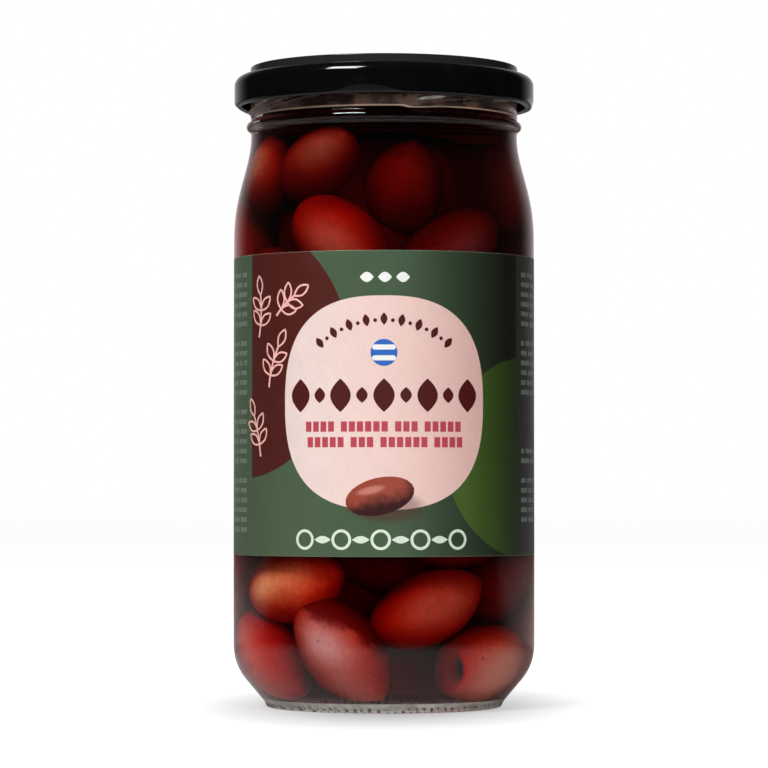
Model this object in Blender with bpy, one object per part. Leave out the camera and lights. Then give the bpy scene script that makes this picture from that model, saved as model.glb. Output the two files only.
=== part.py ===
"""A shut glass jar of olives: glass with a recessed label panel, twist-off lid, paper label and the olives.

Lengths are in metres, +Z is up, and the origin is the middle of the ring that the jar stands on.
The olives are one heap: a hidden core with every olive that lies against the glass fused onto it.
"""
import math
import random

import bmesh
import bpy
import numpy as np

MM = 0.001
GAP = 0.3 * MM

# Driving sizes of the jar
LID_TOP = 142.5 * MM
BODY_RADIUS = 33.5 * MM
NECK_RADIUS = 29.7 * MM
SHOULDER_START = 102.0 * MM
NECK_START = 127.0 * MM
SHOULDER_POWER = 1.35
PANEL_DEPTH = 0.5 * MM
LABEL_LOW = 33.9 * MM
LABEL_HIGH = 99.7 * MM
LABEL_THICKNESS = 0.25 * MM

# Foot of the jar: a flat ring round a shallow push-up, then a slanted heel that rounds into the body
FOOT_INNER = 23.4 * MM
FOOT_OUTER = 25.2 * MM
HEEL_LOW = (26.0 * MM, 0.6 * MM)
HEEL_HIGH = (30.9 * MM, 6.4 * MM)
HEEL_ROUND_TOP = 15.0 * MM
HEEL_POWER = 2.6
PUSH_UP = 2.4 * MM
PUSH_UP_RADIUS = 19.0 * MM

# Inside of the jar
WALL = 2.5 * MM
FLOOR_EDGE = (21.4 * MM, 2.6 * MM)
FLOOR_CORNER = 9.6 * MM
FLOOR_MIDDLE = 4.4 * MM

# Neck: a ring under the lid, and four threads that start low and rise to the right
RING_HEIGHT = 129.2 * MM
RING_PROUD = 1.0 * MM
FINISH_PROUD = 0.1 * MM
FINISH_LOW = 130.9 * MM
FINISH_TOP = 137.6 * MM
RIM_TOP = 139.7 * MM
RIM_ROUND = 1.2 * MM
RIM_INNER = 27.4 * MM
RIM_CHAMFER = 0.7 * MM
THREAD_COUNT = 4
THREAD_FIRST = 8.0
THREAD_SPAN = 76.0
THREAD_LOW = 131.6 * MM
THREAD_RISE = 4.7 * MM
THREAD_HALF = 1.4 * MM
THREAD_PROUD = 1.3 * MM
THREAD_ENDS = 8.0

# Lid of thin sheet: raised panel, round shoulder, skirt and a rolled edge with a lug under each thread
LID_SHEET = 0.6 * MM
LID_PANEL_RADIUS = 29.8 * MM
LID_PANEL_FOOT = 29.9 * MM
LID_PANEL_ROUND = 0.3 * MM
LID_CHANNEL_TOP = 140.6 * MM
LID_SHOULDER = 2.3 * MM
LID_BOTTOM = 133.4 * MM
LID_CURL_TOP = 135.0 * MM
LID_CURL_DEPTH = 1.45 * MM
LID_CURL_ROUND = 0.35 * MM
LUG_FIRST = 83.0
LUG_SPAN = 16.0
LUG_DEPTH = 0.7 * MM
LUG_TOP = 135.6 * MM

SEGMENTS = 40

# Olives that can be told apart through the glass. Azimuth in degrees, from the front round to the right;
# height, depth behind the glass, half length and half width in millimetres; tilt of the long axis from
# level, rising to the right, and lean of its right end towards the glass, in degrees.
OLIVES_SEEN = [
    (-68, 117, 2.0, 9.0, 6.3, 78, 10),
    (-42, 119, 0.6, 11.5, 7.6, 36, 22),
    (12, 113.5, 3.4, 10.4, 7.8, 82, 12),
    (-22, 100.9, 0.0, 12.8, 8.4, -48, 5),
    (36, 99.8, 0.8, 12.6, 8.2, 38, 0),
    (-58, 90.5, 0.5, 12.0, 8.0, -60, 0),
    (92, 115, 1.0, 11.5, 8.0, 60, 0),
    (-46.5, 27.3, 0.0, 12.2, 8.2, 12, 0),
    (-20.8, 12.9, 0.0, 12.8, 7.9, -60, 0),
    (20.4, 24.3, 0.0, 12.4, 7.8, 28, 5),
    (56.5, 11.4, 0.0, 12.0, 7.8, 8, 4),
    (-69, 11, 0.0, 11.4, 7.8, -45, 0),
    (71, 30, 1.0, 11.8, 7.8, 55, 0),
    (-116, 28, 0.0, 12.4, 8.0, 35, 0),
    (1, 33, 5.0, 11.6, 8.0, -15, 0),
    (38, 38, 0.6, 12.0, 7.8, 12, 0),
]

# The other olives start in rows round the glass and settle against each other
ROW_LOW = 11.5 * MM
ROW_PITCH = 15.6 * MM
ROW_COUNT = 8
OLIVES_IN_ROW = 7
OLIVE_HALF_LENGTH = 12.2 * MM
OLIVE_HALF_WIDTH = 8.0 * MM
OLIVE_UNEVENNESS = 0.06
START_TURN = 0.12
START_RISE = 1.5 * MM
START_TILT = 75.0
START_LEAN = 20.0
OLIVE_SIDES = 8
OLIVE_RINGS = 6
OLIVE_TIP = 0.82
START_CLEARANCE = 13.6 * MM
SETTLE_ROUNDS = 220
END_BALL_PLACE = 0.52
END_BALL_SIZE = 0.66
MIDDLE_BALL_SIZE = 0.95
BALL_SIDES = ((-0.7, 0.72), (0.0, 1.0), (0.7, 0.72))
PINNED_MOBILITY = 0.004
SETTLE_SHIFT = 0.5
SETTLE_TURN = 0.25
WALL_PULL = 0.08 * MM
GLASS_GAP = 1.25 * MM
HEAP_TOP = 127.0 * MM
SEED = 7

CORE_RADIUS = 17.5 * MM
CORE_LOW = 5.6 * MM
CORE_TOP = 117.0 * MM
CORE_DOME = (6.0 * MM, 8.0 * MM)
CORE_DOME_START = 14.0 * MM
CORE_SIDES = 16

# Colours, as linear red, green and blue
GLASS_COLOUR = (0.80, 0.86, 0.84)
LID_COLOUR = (0.006, 0.006, 0.008)
LABEL_COLOUR = (0.045, 0.080, 0.042)
OLIVE_COLOUR = (0.16, 0.022, 0.016)


def clear_scene():
    """Remove every object that is in the scene."""
    for old in list(bpy.data.objects):
        bpy.data.objects.remove(old, do_unlink=True)


def make_material(name, colour, roughness, metallic=0.0):
    """Make a Principled material of one colour."""
    material = bpy.data.materials.new(name)
    material.use_nodes = True
    shader = material.node_tree.nodes["Principled BSDF"]
    shader.inputs["Base Color"].default_value = (*colour, 1.0)
    shader.inputs["Roughness"].default_value = roughness
    shader.inputs["Metallic"].default_value = metallic
    return material


def add_object(name, mesh, material, sharp_angle):
    """Put a mesh into the scene with its material, smooth but for edges sharper than the angle."""
    mesh.materials.append(material)
    mesh.shade_smooth()
    mesh.set_sharp_from_angle(angle=math.radians(sharp_angle))
    piece = bpy.data.objects.new(name, mesh)
    bpy.context.scene.collection.objects.link(piece)
    return piece


def arc(centre, radius, start, end, steps):
    """Points (r, z) along an arc between two angles in degrees, both ends included."""
    angles = np.radians(np.linspace(start, end, steps + 1))
    return [(centre[0] + radius * math.cos(a), centre[1] + radius * math.sin(a)) for a in angles]


def bump(distance, half_width):
    """A smooth bump: 1 at distance 0, falling to 0 at the half width."""
    return math.cos(0.5 * math.pi * min(abs(distance) / half_width, 1.0)) ** 2


def turn_from(azimuth, first, count):
    """Degrees from the last of several evenly spread azimuths, counted to the right."""
    return (azimuth - first) % (360.0 / count)


def thread_relief(azimuth, height):
    """How far a thread stands out of the glass: a smooth ridge on the finish, and nothing elsewhere."""
    if not FINISH_LOW <= height <= FINISH_TOP:
        return 0.0
    along = turn_from(azimuth, THREAD_FIRST, THREAD_COUNT) / THREAD_SPAN
    if along > 1.0:
        return 0.0
    ends = min(1.0, THREAD_ENDS * along, THREAD_ENDS * (1.0 - along))
    return THREAD_PROUD * ends * bump(height - THREAD_LOW - along * THREAD_RISE, THREAD_HALF)


def lug_relief(azimuth, height):
    """How far a lug pushes the lid's edge inwards: most at the bottom, less and less up to its top."""
    fade = min(max((LUG_TOP - height) / (LUG_TOP - LID_BOTTOM), 0.0), 1.0)
    spacing = 360.0 / THREAD_COUNT
    turn = (azimuth - LUG_FIRST + 0.5 * spacing) % spacing - 0.5 * spacing
    return -LUG_DEPTH * fade * bump(turn, LUG_SPAN)


def revolve(name, profile, material, relief=None, sharp_angle=35.0, sides=SEGMENTS):
    """Turn a profile of (r, z) points about Z.

    The profile runs along the outside in the direction that keeps the solid on its left hand. A point on
    the axis closes that end, and a profile with no such point closes on itself as a ring.
    """
    bm = bmesh.new()
    rows = []
    for radius, height in profile:
        if radius == 0.0:
            rows.append([bm.verts.new((0.0, 0.0, height))])
            continue
        row = []
        for side in range(sides):
            azimuth = 360.0 * side / sides
            out = radius + (relief(azimuth, height) if relief else 0.0)
            angle = math.radians(azimuth)
            row.append(bm.verts.new((out * math.sin(angle), -out * math.cos(angle), height)))
        rows.append(row)
    pairs = list(zip(rows, rows[1:]))
    if len(rows[0]) > 1:
        pairs.append((rows[-1], rows[0]))
    for lower, upper in pairs:
        for side in range(sides):
            following = (side + 1) % sides
            if len(lower) == 1:
                bm.faces.new((lower[0], upper[following], upper[side]))
            elif len(upper) == 1:
                bm.faces.new((lower[side], lower[following], upper[0]))
            else:
                bm.faces.new((lower[side], lower[following], upper[following], upper[side]))
    bmesh.ops.recalc_face_normals(bm, faces=bm.faces)
    mesh = bpy.data.meshes.new(name)
    bm.to_mesh(mesh)
    bm.free()
    return add_object(name, mesh, material, sharp_angle)


def shoulder_radius(height):
    """Outer radius of the shoulder: a slow start below and a quicker turn into the neck."""
    along = min(max((height - SHOULDER_START) / (NECK_START - SHOULDER_START), 0.0), 1.0)
    drop = 0.5 * (1.0 - math.cos(math.pi * along ** SHOULDER_POWER))
    return BODY_RADIUS - (BODY_RADIUS - NECK_RADIUS) * drop


def heel_radius(height):
    """Outer radius of the rounded part of the heel."""
    along = (HEEL_ROUND_TOP - height) / (HEEL_ROUND_TOP - HEEL_HIGH[1])
    return BODY_RADIUS - (BODY_RADIUS - HEEL_HIGH[0]) * along ** HEEL_POWER


def inner_radius(height):
    """Inner radius of the jar, from its floor corner up to the rim."""
    corner_height = FLOOR_EDGE[1] + FLOOR_CORNER
    if height < corner_height:
        drop = min(corner_height - height, FLOOR_CORNER)
        return FLOOR_EDGE[0] + math.sqrt(FLOOR_CORNER ** 2 - drop ** 2)
    return shoulder_radius(height) - WALL


def floor_height(radius):
    """Height of the jar's inner floor, which rises towards the middle."""
    along = min(radius / FLOOR_EDGE[0], 1.0)
    return FLOOR_MIDDLE + (FLOOR_EDGE[1] - FLOOR_MIDDLE) * along ** 2


def jar_profile():
    """The glass, from the middle of its underside up the outside and down the inside."""
    panel_radius = BODY_RADIUS - PANEL_DEPTH
    panel_low = LABEL_LOW - 2.0 * GAP
    panel_high = LABEL_HIGH + 2.0 * GAP
    profile = [(0.0, PUSH_UP), (PUSH_UP_RADIUS, 0.8 * PUSH_UP), (FOOT_INNER, 0.0), (FOOT_OUTER, 0.0)]
    profile += [HEEL_LOW]
    profile += [(heel_radius(z), z) for z in np.linspace(HEEL_HIGH[1], HEEL_ROUND_TOP, 5)]
    profile += [(BODY_RADIUS, panel_low - 1.5 * PANEL_DEPTH), (panel_radius, panel_low)]
    profile += [(panel_radius, panel_high), (BODY_RADIUS, panel_high + 1.5 * PANEL_DEPTH)]
    profile += [(shoulder_radius(z), z) for z in np.linspace(SHOULDER_START + 2 * MM, NECK_START, 8)]
    profile += arc((NECK_RADIUS, RING_HEIGHT), RING_PROUD, -60, 60, 2)
    finish_radius = NECK_RADIUS + FINISH_PROUD
    profile += [(finish_radius, z) for z in np.linspace(FINISH_LOW, FINISH_TOP, 7)]
    profile += arc((finish_radius - RIM_ROUND, RIM_TOP - RIM_ROUND), RIM_ROUND, 0, 90, 2)
    profile += [(RIM_INNER + RIM_CHAMFER, RIM_TOP), (RIM_INNER, RIM_TOP - RIM_CHAMFER)]
    profile += [(inner_radius(z), z) for z in np.linspace(NECK_START, SHOULDER_START + 2 * MM, 6)]
    centre = (FLOOR_EDGE[0], FLOOR_EDGE[1] + FLOOR_CORNER)
    profile += arc(centre, FLOOR_CORNER, 0, -90, 5)
    profile += [(0.5 * FLOOR_EDGE[0], floor_height(0.5 * FLOOR_EDGE[0])), (0.0, FLOOR_MIDDLE)]
    return profile


def lid_profile():
    """The lid's sheet, from the middle of its top down the outside and back up the inside."""
    shoulder = (BODY_RADIUS - LID_SHOULDER, LID_CHANNEL_TOP - LID_SHOULDER)
    inner = BODY_RADIUS - LID_SHEET
    curl_inner = BODY_RADIUS - LID_CURL_DEPTH
    profile = [(0.0, LID_TOP), (LID_PANEL_RADIUS - LID_PANEL_ROUND, LID_TOP)]
    profile += [(LID_PANEL_RADIUS, LID_TOP - LID_PANEL_ROUND), (LID_PANEL_FOOT, LID_CHANNEL_TOP)]
    profile += arc(shoulder, LID_SHOULDER, 90, 0, 4)
    profile += [(BODY_RADIUS, LUG_TOP), (BODY_RADIUS, LID_CURL_TOP)]
    profile += [(BODY_RADIUS, LID_BOTTOM + LID_CURL_ROUND), (BODY_RADIUS - LID_CURL_ROUND, LID_BOTTOM)]
    profile += [(curl_inner + LID_CURL_ROUND, LID_BOTTOM), (curl_inner, LID_BOTTOM + LID_CURL_ROUND)]
    profile += [(curl_inner, LID_CURL_TOP - LID_CURL_ROUND), (curl_inner + LID_CURL_ROUND, LID_CURL_TOP)]
    profile += [(inner, LID_CURL_TOP + LID_CURL_ROUND), (inner, LUG_TOP)]
    profile += arc(shoulder, LID_SHOULDER - LID_SHEET, 0, 90, 3)
    profile += [(LID_PANEL_FOOT, LID_CHANNEL_TOP - LID_SHEET)]
    profile += [(LID_PANEL_RADIUS - LID_SHEET, LID_TOP - LID_SHEET), (0.0, LID_TOP - LID_SHEET)]
    return profile


def label_profile():
    """The paper, a thin tube in the jar's recessed panel."""
    inner = BODY_RADIUS - PANEL_DEPTH + GAP
    outer = inner + LABEL_THICKNESS
    return [(outer, LABEL_LOW), (outer, LABEL_HIGH), (inner, LABEL_HIGH), (inner, LABEL_LOW)]


def axis_direction(azimuth, tilt, lean):
    """Unit vector of an olive's long axis at an azimuth, from its tilt and its lean."""
    outward = np.array([math.sin(azimuth), -math.cos(azimuth), 0.0])
    rightward = np.array([math.cos(azimuth), math.sin(azimuth), 0.0])
    upward = np.array([0.0, 0.0, 1.0])
    level = math.cos(tilt) * rightward + math.sin(tilt) * upward
    return math.cos(lean) * level + math.sin(lean) * outward


def wall_place(azimuth, height, half_width, depth):
    """Centre of an olive that lies a depth behind the glass."""
    radius = inner_radius(height) - half_width - GAP - depth
    return np.array([radius * math.sin(azimuth), -radius * math.cos(azimuth), height])


def starting_olives():
    """Every olive before it settles: rows of (centre, long axis, half length, half width, mobility)."""
    olives = []
    for azimuth, height, depth, half_length, half_width, tilt, lean in OLIVES_SEEN:
        turn = math.radians(azimuth)
        centre = wall_place(turn, height * MM, half_width * MM, depth * MM)
        axis = axis_direction(turn, math.radians(tilt), math.radians(lean))
        olives.append((centre, axis, half_length * MM, half_width * MM, PINNED_MOBILITY))
    draw = random.Random(SEED)
    seen = [olive[0] for olive in olives]
    for row in range(ROW_COUNT):
        for place in range(OLIVES_IN_ROW):
            step = place + 0.5 * (row % 2) + draw.uniform(-START_TURN, START_TURN)
            azimuth = 2.0 * math.pi * step / OLIVES_IN_ROW
            height = ROW_LOW + row * ROW_PITCH + draw.uniform(-START_RISE, START_RISE)
            size = 1.0 + draw.uniform(-OLIVE_UNEVENNESS, OLIVE_UNEVENNESS)
            tilt = math.radians(draw.uniform(-START_TILT, START_TILT))
            lean = math.radians(draw.uniform(-START_LEAN, START_LEAN))
            centre = wall_place(azimuth, height, OLIVE_HALF_WIDTH * size, 0.0)
            if min(np.linalg.norm(centre - other) for other in seen) < START_CLEARANCE:
                continue
            axis = axis_direction(azimuth, tilt, lean)
            olives.append((centre, axis, OLIVE_HALF_LENGTH * size, OLIVE_HALF_WIDTH * size, 1.0))
    return olives


def settle(olives):
    """Push the olives apart inside the glass and return their centres and long axes.

    Each olive is stood for by three balls along its axis. In every round each pair of balls that cross
    moves apart, each ball that crosses the glass moves back, and the balls carry their olive with them.
    """
    centres = np.array([olive[0] for olive in olives])
    axes = np.array([olive[1] for olive in olives])
    lengths = np.array([olive[2] for olive in olives])
    widths = np.array([olive[3] for olive in olives])
    mobility = np.repeat([olive[4] for olive in olives], 3)
    owner = np.repeat(np.arange(len(olives)), 3)
    radii = (widths[:, None] * np.array([END_BALL_SIZE, MIDDLE_BALL_SIZE, END_BALL_SIZE])).ravel()
    steps = np.array([-1.0, 0.0, 1.0]) * END_BALL_PLACE
    heights = np.linspace(0.0, HEAP_TOP + 10 * MM, 200)
    inside = np.array([inner_radius(z) for z in heights])
    share = mobility[:, None] / np.maximum(mobility[:, None] + mobility[None, :], 1.0)
    apart = owner[:, None] != owner[None, :]
    for _ in range(SETTLE_ROUNDS):
        balls = (centres[:, None] + axes[:, None] * (lengths[:, None] * steps)[..., None]).reshape(-1, 3)
        offset = balls[:, None] - balls[None]
        distance = np.linalg.norm(offset, axis=2) + 1e-9
        overlap = np.where(apart, np.clip(radii[:, None] + radii[None] - distance, 0.0, None), 0.0)
        push = (offset / distance[..., None] * (overlap * share)[..., None]).sum(axis=1)
        out = np.hypot(balls[:, 0], balls[:, 1]) + 1e-9
        room = np.min([np.interp(balls[:, 2] + step * radii, heights, inside) - reach * radii
                       for step, reach in BALL_SIDES], axis=0) - GLASS_GAP
        pull = np.where(mobility == 1.0, WALL_PULL, 0.0)
        radial = np.minimum(out + pull, room) - out
        push[:, :2] += balls[:, :2] / out[:, None] * radial[:, None]
        floor = np.interp(out, [0.0, FLOOR_EDGE[0]], [FLOOR_MIDDLE, FLOOR_EDGE[1]])
        push[:, 2] += np.clip(floor + radii + GLASS_GAP - balls[:, 2], 0.0, None)
        push[:, 2] -= np.clip(balls[:, 2] + radii - HEAP_TOP, 0.0, None)
        push = push.reshape(-1, 3, 3)
        centres = centres + SETTLE_SHIFT * push.mean(axis=1) + SETTLE_TURN * push[:, 1]
        axes = axes + SETTLE_TURN * (push[:, 2] - push[:, 0]) / lengths[:, None]
        axes = axes / np.linalg.norm(axes, axis=1)[:, None]
    return centres, axes


def olive_mesh(centre, axis, half_length, half_width):
    """One olive, a plump spindle that is a little more pointed at one end."""
    first = np.cross(axis, (0.0, 0.0, 1.0))
    first = first / np.linalg.norm(first)
    second = np.cross(axis, first)
    bm = bmesh.new()
    rows = []
    for ring in range(OLIVE_RINGS + 1):
        angle = math.pi * ring / OLIVE_RINGS
        along = -half_length * math.cos(angle)
        taper = 1.0 - (1.0 - OLIVE_TIP) * max(along / half_length, 0.0) ** 2
        width = half_width * math.sin(angle) * taper
        if ring in (0, OLIVE_RINGS):
            rows.append([bm.verts.new(centre + axis * along)])
            continue
        turns = [2.0 * math.pi * side / OLIVE_SIDES for side in range(OLIVE_SIDES)]
        around = [math.cos(turn) * first + math.sin(turn) * second for turn in turns]
        rows.append([bm.verts.new(centre + axis * along + width * out) for out in around])
    for lower, upper in zip(rows, rows[1:]):
        for side in range(OLIVE_SIDES):
            following = (side + 1) % OLIVE_SIDES
            corners = [lower[side % len(lower)], lower[following % len(lower)]]
            corners += [upper[following % len(upper)], upper[side % len(upper)]]
            bm.faces.new(list(dict.fromkeys(corners)))
    bmesh.ops.recalc_face_normals(bm, faces=bm.faces)
    mesh = bpy.data.meshes.new("olive")
    bm.to_mesh(mesh)
    bm.free()
    return mesh


def core_profile():
    """The hidden core, a column with a domed top."""
    top_edge = (CORE_RADIUS - CORE_DOME[0], CORE_TOP - CORE_DOME[1])
    profile = [(0.0, CORE_LOW), (CORE_RADIUS, CORE_LOW), (CORE_RADIUS, CORE_TOP - CORE_DOME_START)]
    return profile + [top_edge, (0.0, CORE_TOP)]


def make_heap(material):
    """The olives as one solid: the core with the settled olives joined onto it."""
    olives = starting_olives()
    centres, axes = settle(olives)
    parts = bpy.data.collections.new("olives_to_join")
    for olive, centre, axis in zip(olives, centres, axes):
        mesh = olive_mesh(centre, axis, olive[2], olive[3])
        parts.objects.link(bpy.data.objects.new("olive", mesh))
    heap = revolve("olives", core_profile(), material, sides=CORE_SIDES)
    union = heap.modifiers.new("join", "BOOLEAN")
    union.operation = "UNION"
    union.operand_type = "COLLECTION"
    union.collection = parts
    union.solver = "EXACT"
    bpy.context.scene.collection.children.link(parts)
    bpy.context.view_layer.update()
    joined = bpy.data.meshes.new_from_object(heap.evaluated_get(bpy.context.evaluated_depsgraph_get()))
    heap.modifiers.clear()
    heap.data = keep_outer_shell(joined)
    for piece in list(parts.objects):
        bpy.data.objects.remove(piece, do_unlink=True)
    bpy.data.collections.remove(parts)
    return heap


def keep_outer_shell(mesh):
    """Drop every shell but the largest: hollows sealed between olives are filled, loose scraps go."""
    bm = bmesh.new()
    bm.from_mesh(mesh)
    waiting = set(bm.faces)
    shells = []
    while waiting:
        stack = [waiting.pop()]
        shell = []
        while stack:
            face = stack.pop()
            shell.append(face)
            for edge in face.edges:
                for neighbour in edge.link_faces:
                    if neighbour in waiting:
                        waiting.discard(neighbour)
                        stack.append(neighbour)
        shells.append(shell)
    shells.sort(key=len)
    for shell in shells[:-1]:
        bmesh.ops.delete(bm, geom=shell, context="FACES")
    bm.to_mesh(mesh)
    bm.free()
    return mesh


def main():
    """Build every solid."""
    clear_scene()
    revolve("jar", jar_profile(), make_material("glass", GLASS_COLOUR, 0.05), relief=thread_relief)
    revolve("lid", lid_profile(), make_material("lid", LID_COLOUR, 0.2), relief=lug_relief)
    revolve("label", label_profile(), make_material("label", LABEL_COLOUR, 0.55))
    make_heap(make_material("olives", OLIVE_COLOUR, 0.3))


if __name__ == "__main__":
    main()
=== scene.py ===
"""Looks of a shut glass jar of olives in dark brine, with a black twist-off lid and a printed paper label.

Lengths are in metres and angles in radians unless a name says otherwise. An azimuth counts from the front of
the jar, which faces -Y, round to its right, which is +X. Every surface is a grid worked out with numpy: a
profile turned about the jar's axis, a spindle for an olive, or a small patch of print bent round the paper.
"""
import logging
import math
import random
from collections.abc import Callable
from dataclasses import dataclass, field
from enum import Enum
from typing import NamedTuple

import bpy
import numpy as np
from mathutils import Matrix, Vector

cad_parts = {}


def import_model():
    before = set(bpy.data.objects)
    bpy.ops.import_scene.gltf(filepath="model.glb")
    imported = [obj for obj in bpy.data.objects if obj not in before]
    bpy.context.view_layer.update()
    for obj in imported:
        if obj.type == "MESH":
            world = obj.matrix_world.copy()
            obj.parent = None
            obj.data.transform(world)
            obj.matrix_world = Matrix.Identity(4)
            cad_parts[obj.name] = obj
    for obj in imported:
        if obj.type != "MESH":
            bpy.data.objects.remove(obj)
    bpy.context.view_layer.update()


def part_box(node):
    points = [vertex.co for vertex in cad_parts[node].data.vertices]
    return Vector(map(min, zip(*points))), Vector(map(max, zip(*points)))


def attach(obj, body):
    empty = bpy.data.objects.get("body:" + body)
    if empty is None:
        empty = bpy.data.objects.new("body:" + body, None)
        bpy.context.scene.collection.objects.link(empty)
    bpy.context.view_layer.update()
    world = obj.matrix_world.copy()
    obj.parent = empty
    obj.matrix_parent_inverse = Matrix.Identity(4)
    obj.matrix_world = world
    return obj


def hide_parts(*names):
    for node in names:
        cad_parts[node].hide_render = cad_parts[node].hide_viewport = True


MM = 0.001
BODY = "root"
LOG = logging.getLogger("jar_of_olives")

Colour = tuple[float, float, float]
Pair = tuple[float, float]
Oval = tuple[float, float, float, float]
Socket = bpy.types.NodeSocket
Value = Socket | float
Paint = Socket | Colour
Formula = Callable[[np.ndarray, np.ndarray], np.ndarray]

WHITE: Colour = (1.0, 1.0, 1.0)
BLACK: Colour = (0.0, 0.0, 0.0)
GLASS_IOR = 1.5
TINY = 1e-9
# Noise seldom leaves this range
NOISE_LOW = 0.3
NOISE_HIGH = 0.7


def arc(centre: Pair, radius: float, start: float, end: float, steps: int) -> np.ndarray:
    """Points on an arc of a profile: centre plus radius times (cos, sin) of evenly spaced angles.

    Args:
        centre: Radius and height of the arc's centre.
        radius: Radius of the arc.
        start: First angle in degrees, from the outward direction towards up.
        end: Last angle in degrees.
        steps: Number of steps between the two ends.

    Returns:
        An array of (r, z) rows.
    """
    angles = np.radians(np.linspace(start, end, steps + 1))
    return np.column_stack([centre[0] + radius * np.cos(angles), centre[1] + radius * np.sin(angles)])


def column(radius: float, heights: np.ndarray) -> np.ndarray:
    """Rows of (r, z) at one radius."""
    return np.column_stack([np.full(len(heights), radius), heights])


def bump(distance: np.ndarray, half_width: float) -> np.ndarray:
    """Cosine squared bump: 1 at distance 0, falling smoothly to 0 at the half width."""
    return np.cos(0.5 * np.pi * np.clip(np.abs(distance) / half_width, 0.0, 1.0)) ** 2


def outward(azimuth: float) -> np.ndarray:
    """Level unit vector away from the jar's axis."""
    return np.array([math.sin(azimuth), -math.cos(azimuth), 0.0])


def spin(profile: np.ndarray, columns: int, relief: Formula | None = None) -> np.ndarray:
    """Turns a profile about Z: x = r sin(azimuth), y = -r cos(azimuth), with r raised by the relief.

    Args:
        profile: Rows of (r, z).
        columns: Number of columns round the axis.
        relief: Function of (azimuth, z) grids that gives a height above r.

    Returns:
        A grid of points, one row for each profile point and one column for each azimuth.
    """
    azimuth = np.linspace(0.0, 2.0 * np.pi, columns, endpoint=False)
    turn, height = np.meshgrid(azimuth, profile[:, 1])
    radius = np.repeat(profile[:, :1], columns, axis=1)
    if relief is not None:
        radius = radius + np.where(radius > 0.0, relief(turn, height), 0.0)
    return np.stack([radius * np.sin(turn), -radius * np.cos(turn), height], axis=2)


def grid_faces(rows: int, columns: int, wrap: bool) -> np.ndarray:
    """Corner indices of the quads of a grid; with wrap, the last column joins the first.

    Args:
        rows: Number of rows.
        columns: Number of columns.
        wrap: Whether the grid closes round.

    Returns:
        Rows of four corner indices.
    """
    index = np.arange(rows * columns).reshape(rows, columns)
    following = np.roll(index, -1, axis=1) if wrap else index[:, 1:]
    here = index if wrap else index[:, :-1]
    return np.stack([here[:-1], following[:-1], following[1:], here[1:]], axis=2).reshape(-1, 4)


def colour_points(mesh: bpy.types.Mesh, attributes: dict[str, np.ndarray]) -> None:
    """Adds vertex colours by name, each an array of (red, green, blue) rows."""
    for title, values in attributes.items():
        layer = mesh.color_attributes.new(title, "FLOAT_COLOR", "POINT")
        layer.data.foreach_set("color", np.column_stack([values, np.ones(len(values))]).ravel())


def mesh_piece(name: str, points: np.ndarray, faces: list, smooth: bool = True) -> bpy.types.Object:
    """Makes a mesh object at the origin.

    Args:
        name: Name of the piece.
        points: Array of vertex places.
        faces: Rows of corner indices, facing outwards.
        smooth: Whether its faces blend into each other.

    Returns:
        The new object, linked into the scene.
    """
    mesh = bpy.data.meshes.new(name)
    mesh.from_pydata(points.reshape(-1, 3).tolist(), [], [list(face) for face in faces])
    mesh.validate()
    if smooth:
        mesh.shade_smooth()
    piece = bpy.data.objects.new(name, mesh)
    bpy.context.scene.collection.objects.link(piece)
    return piece


def turned_piece(name: str, profile: np.ndarray, columns: int,
                 relief: Formula | None = None) -> bpy.types.Object:
    """Makes a closed turned solid.

    A profile that starts and ends on the axis is closed by a fan at each pole. Any other profile closes on
    itself as a ring. It runs with the solid on its left hand, so that its quads face outwards.

    Args:
        name: Name of the piece.
        profile: Rows of (r, z).
        columns: Number of columns round the axis.
        relief: Function of (azimuth, z) grids that gives a height above r.

    Returns:
        The new object.
    """
    if profile[0, 0] > 0.0:
        closed = np.vstack([profile, profile[:1]])
        grid = spin(closed, columns, relief)[:-1]
        faces = grid_faces(len(profile) + 1, columns, True) % (len(profile) * columns)
        return mesh_piece(name, grid, faces.tolist())
    grid = spin(profile[1:-1], columns, relief).reshape(-1, 3)
    count = len(grid)
    ring = np.arange(columns)
    following = np.roll(ring, -1)
    last = count - columns
    first_fan = np.column_stack([np.full(columns, count), following, ring])
    last_fan = np.column_stack([last + ring, last + following, np.full(columns, count + 1)])
    poles = np.array([[0.0, 0.0, profile[0, 1]], [0.0, 0.0, profile[-1, 1]]])
    faces = grid_faces(len(profile) - 2, columns, True).tolist() + first_fan.tolist() + last_fan.tolist()
    return mesh_piece(name, np.vstack([grid, poles]), faces)


def paint_where(piece: bpy.types.Object, choose: Formula) -> None:
    """Gives each face a material number.

    Args:
        piece: The object.
        choose: Function of the radii and heights of the faces' middles that gives their numbers.
    """
    middle = np.zeros(3 * len(piece.data.polygons))
    piece.data.polygons.foreach_get("center", middle)
    middle = middle.reshape(-1, 3)
    number = choose(np.hypot(middle[:, 0], middle[:, 1]), middle[:, 2])
    piece.data.polygons.foreach_set("material_index", number.astype(np.int32))


class Noise(NamedTuple):
    """A noise on a piece: its waves for each metre, its finer layers and how strong they are."""

    scale: float
    detail: float = 2.0
    roughness: float = 0.5


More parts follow.
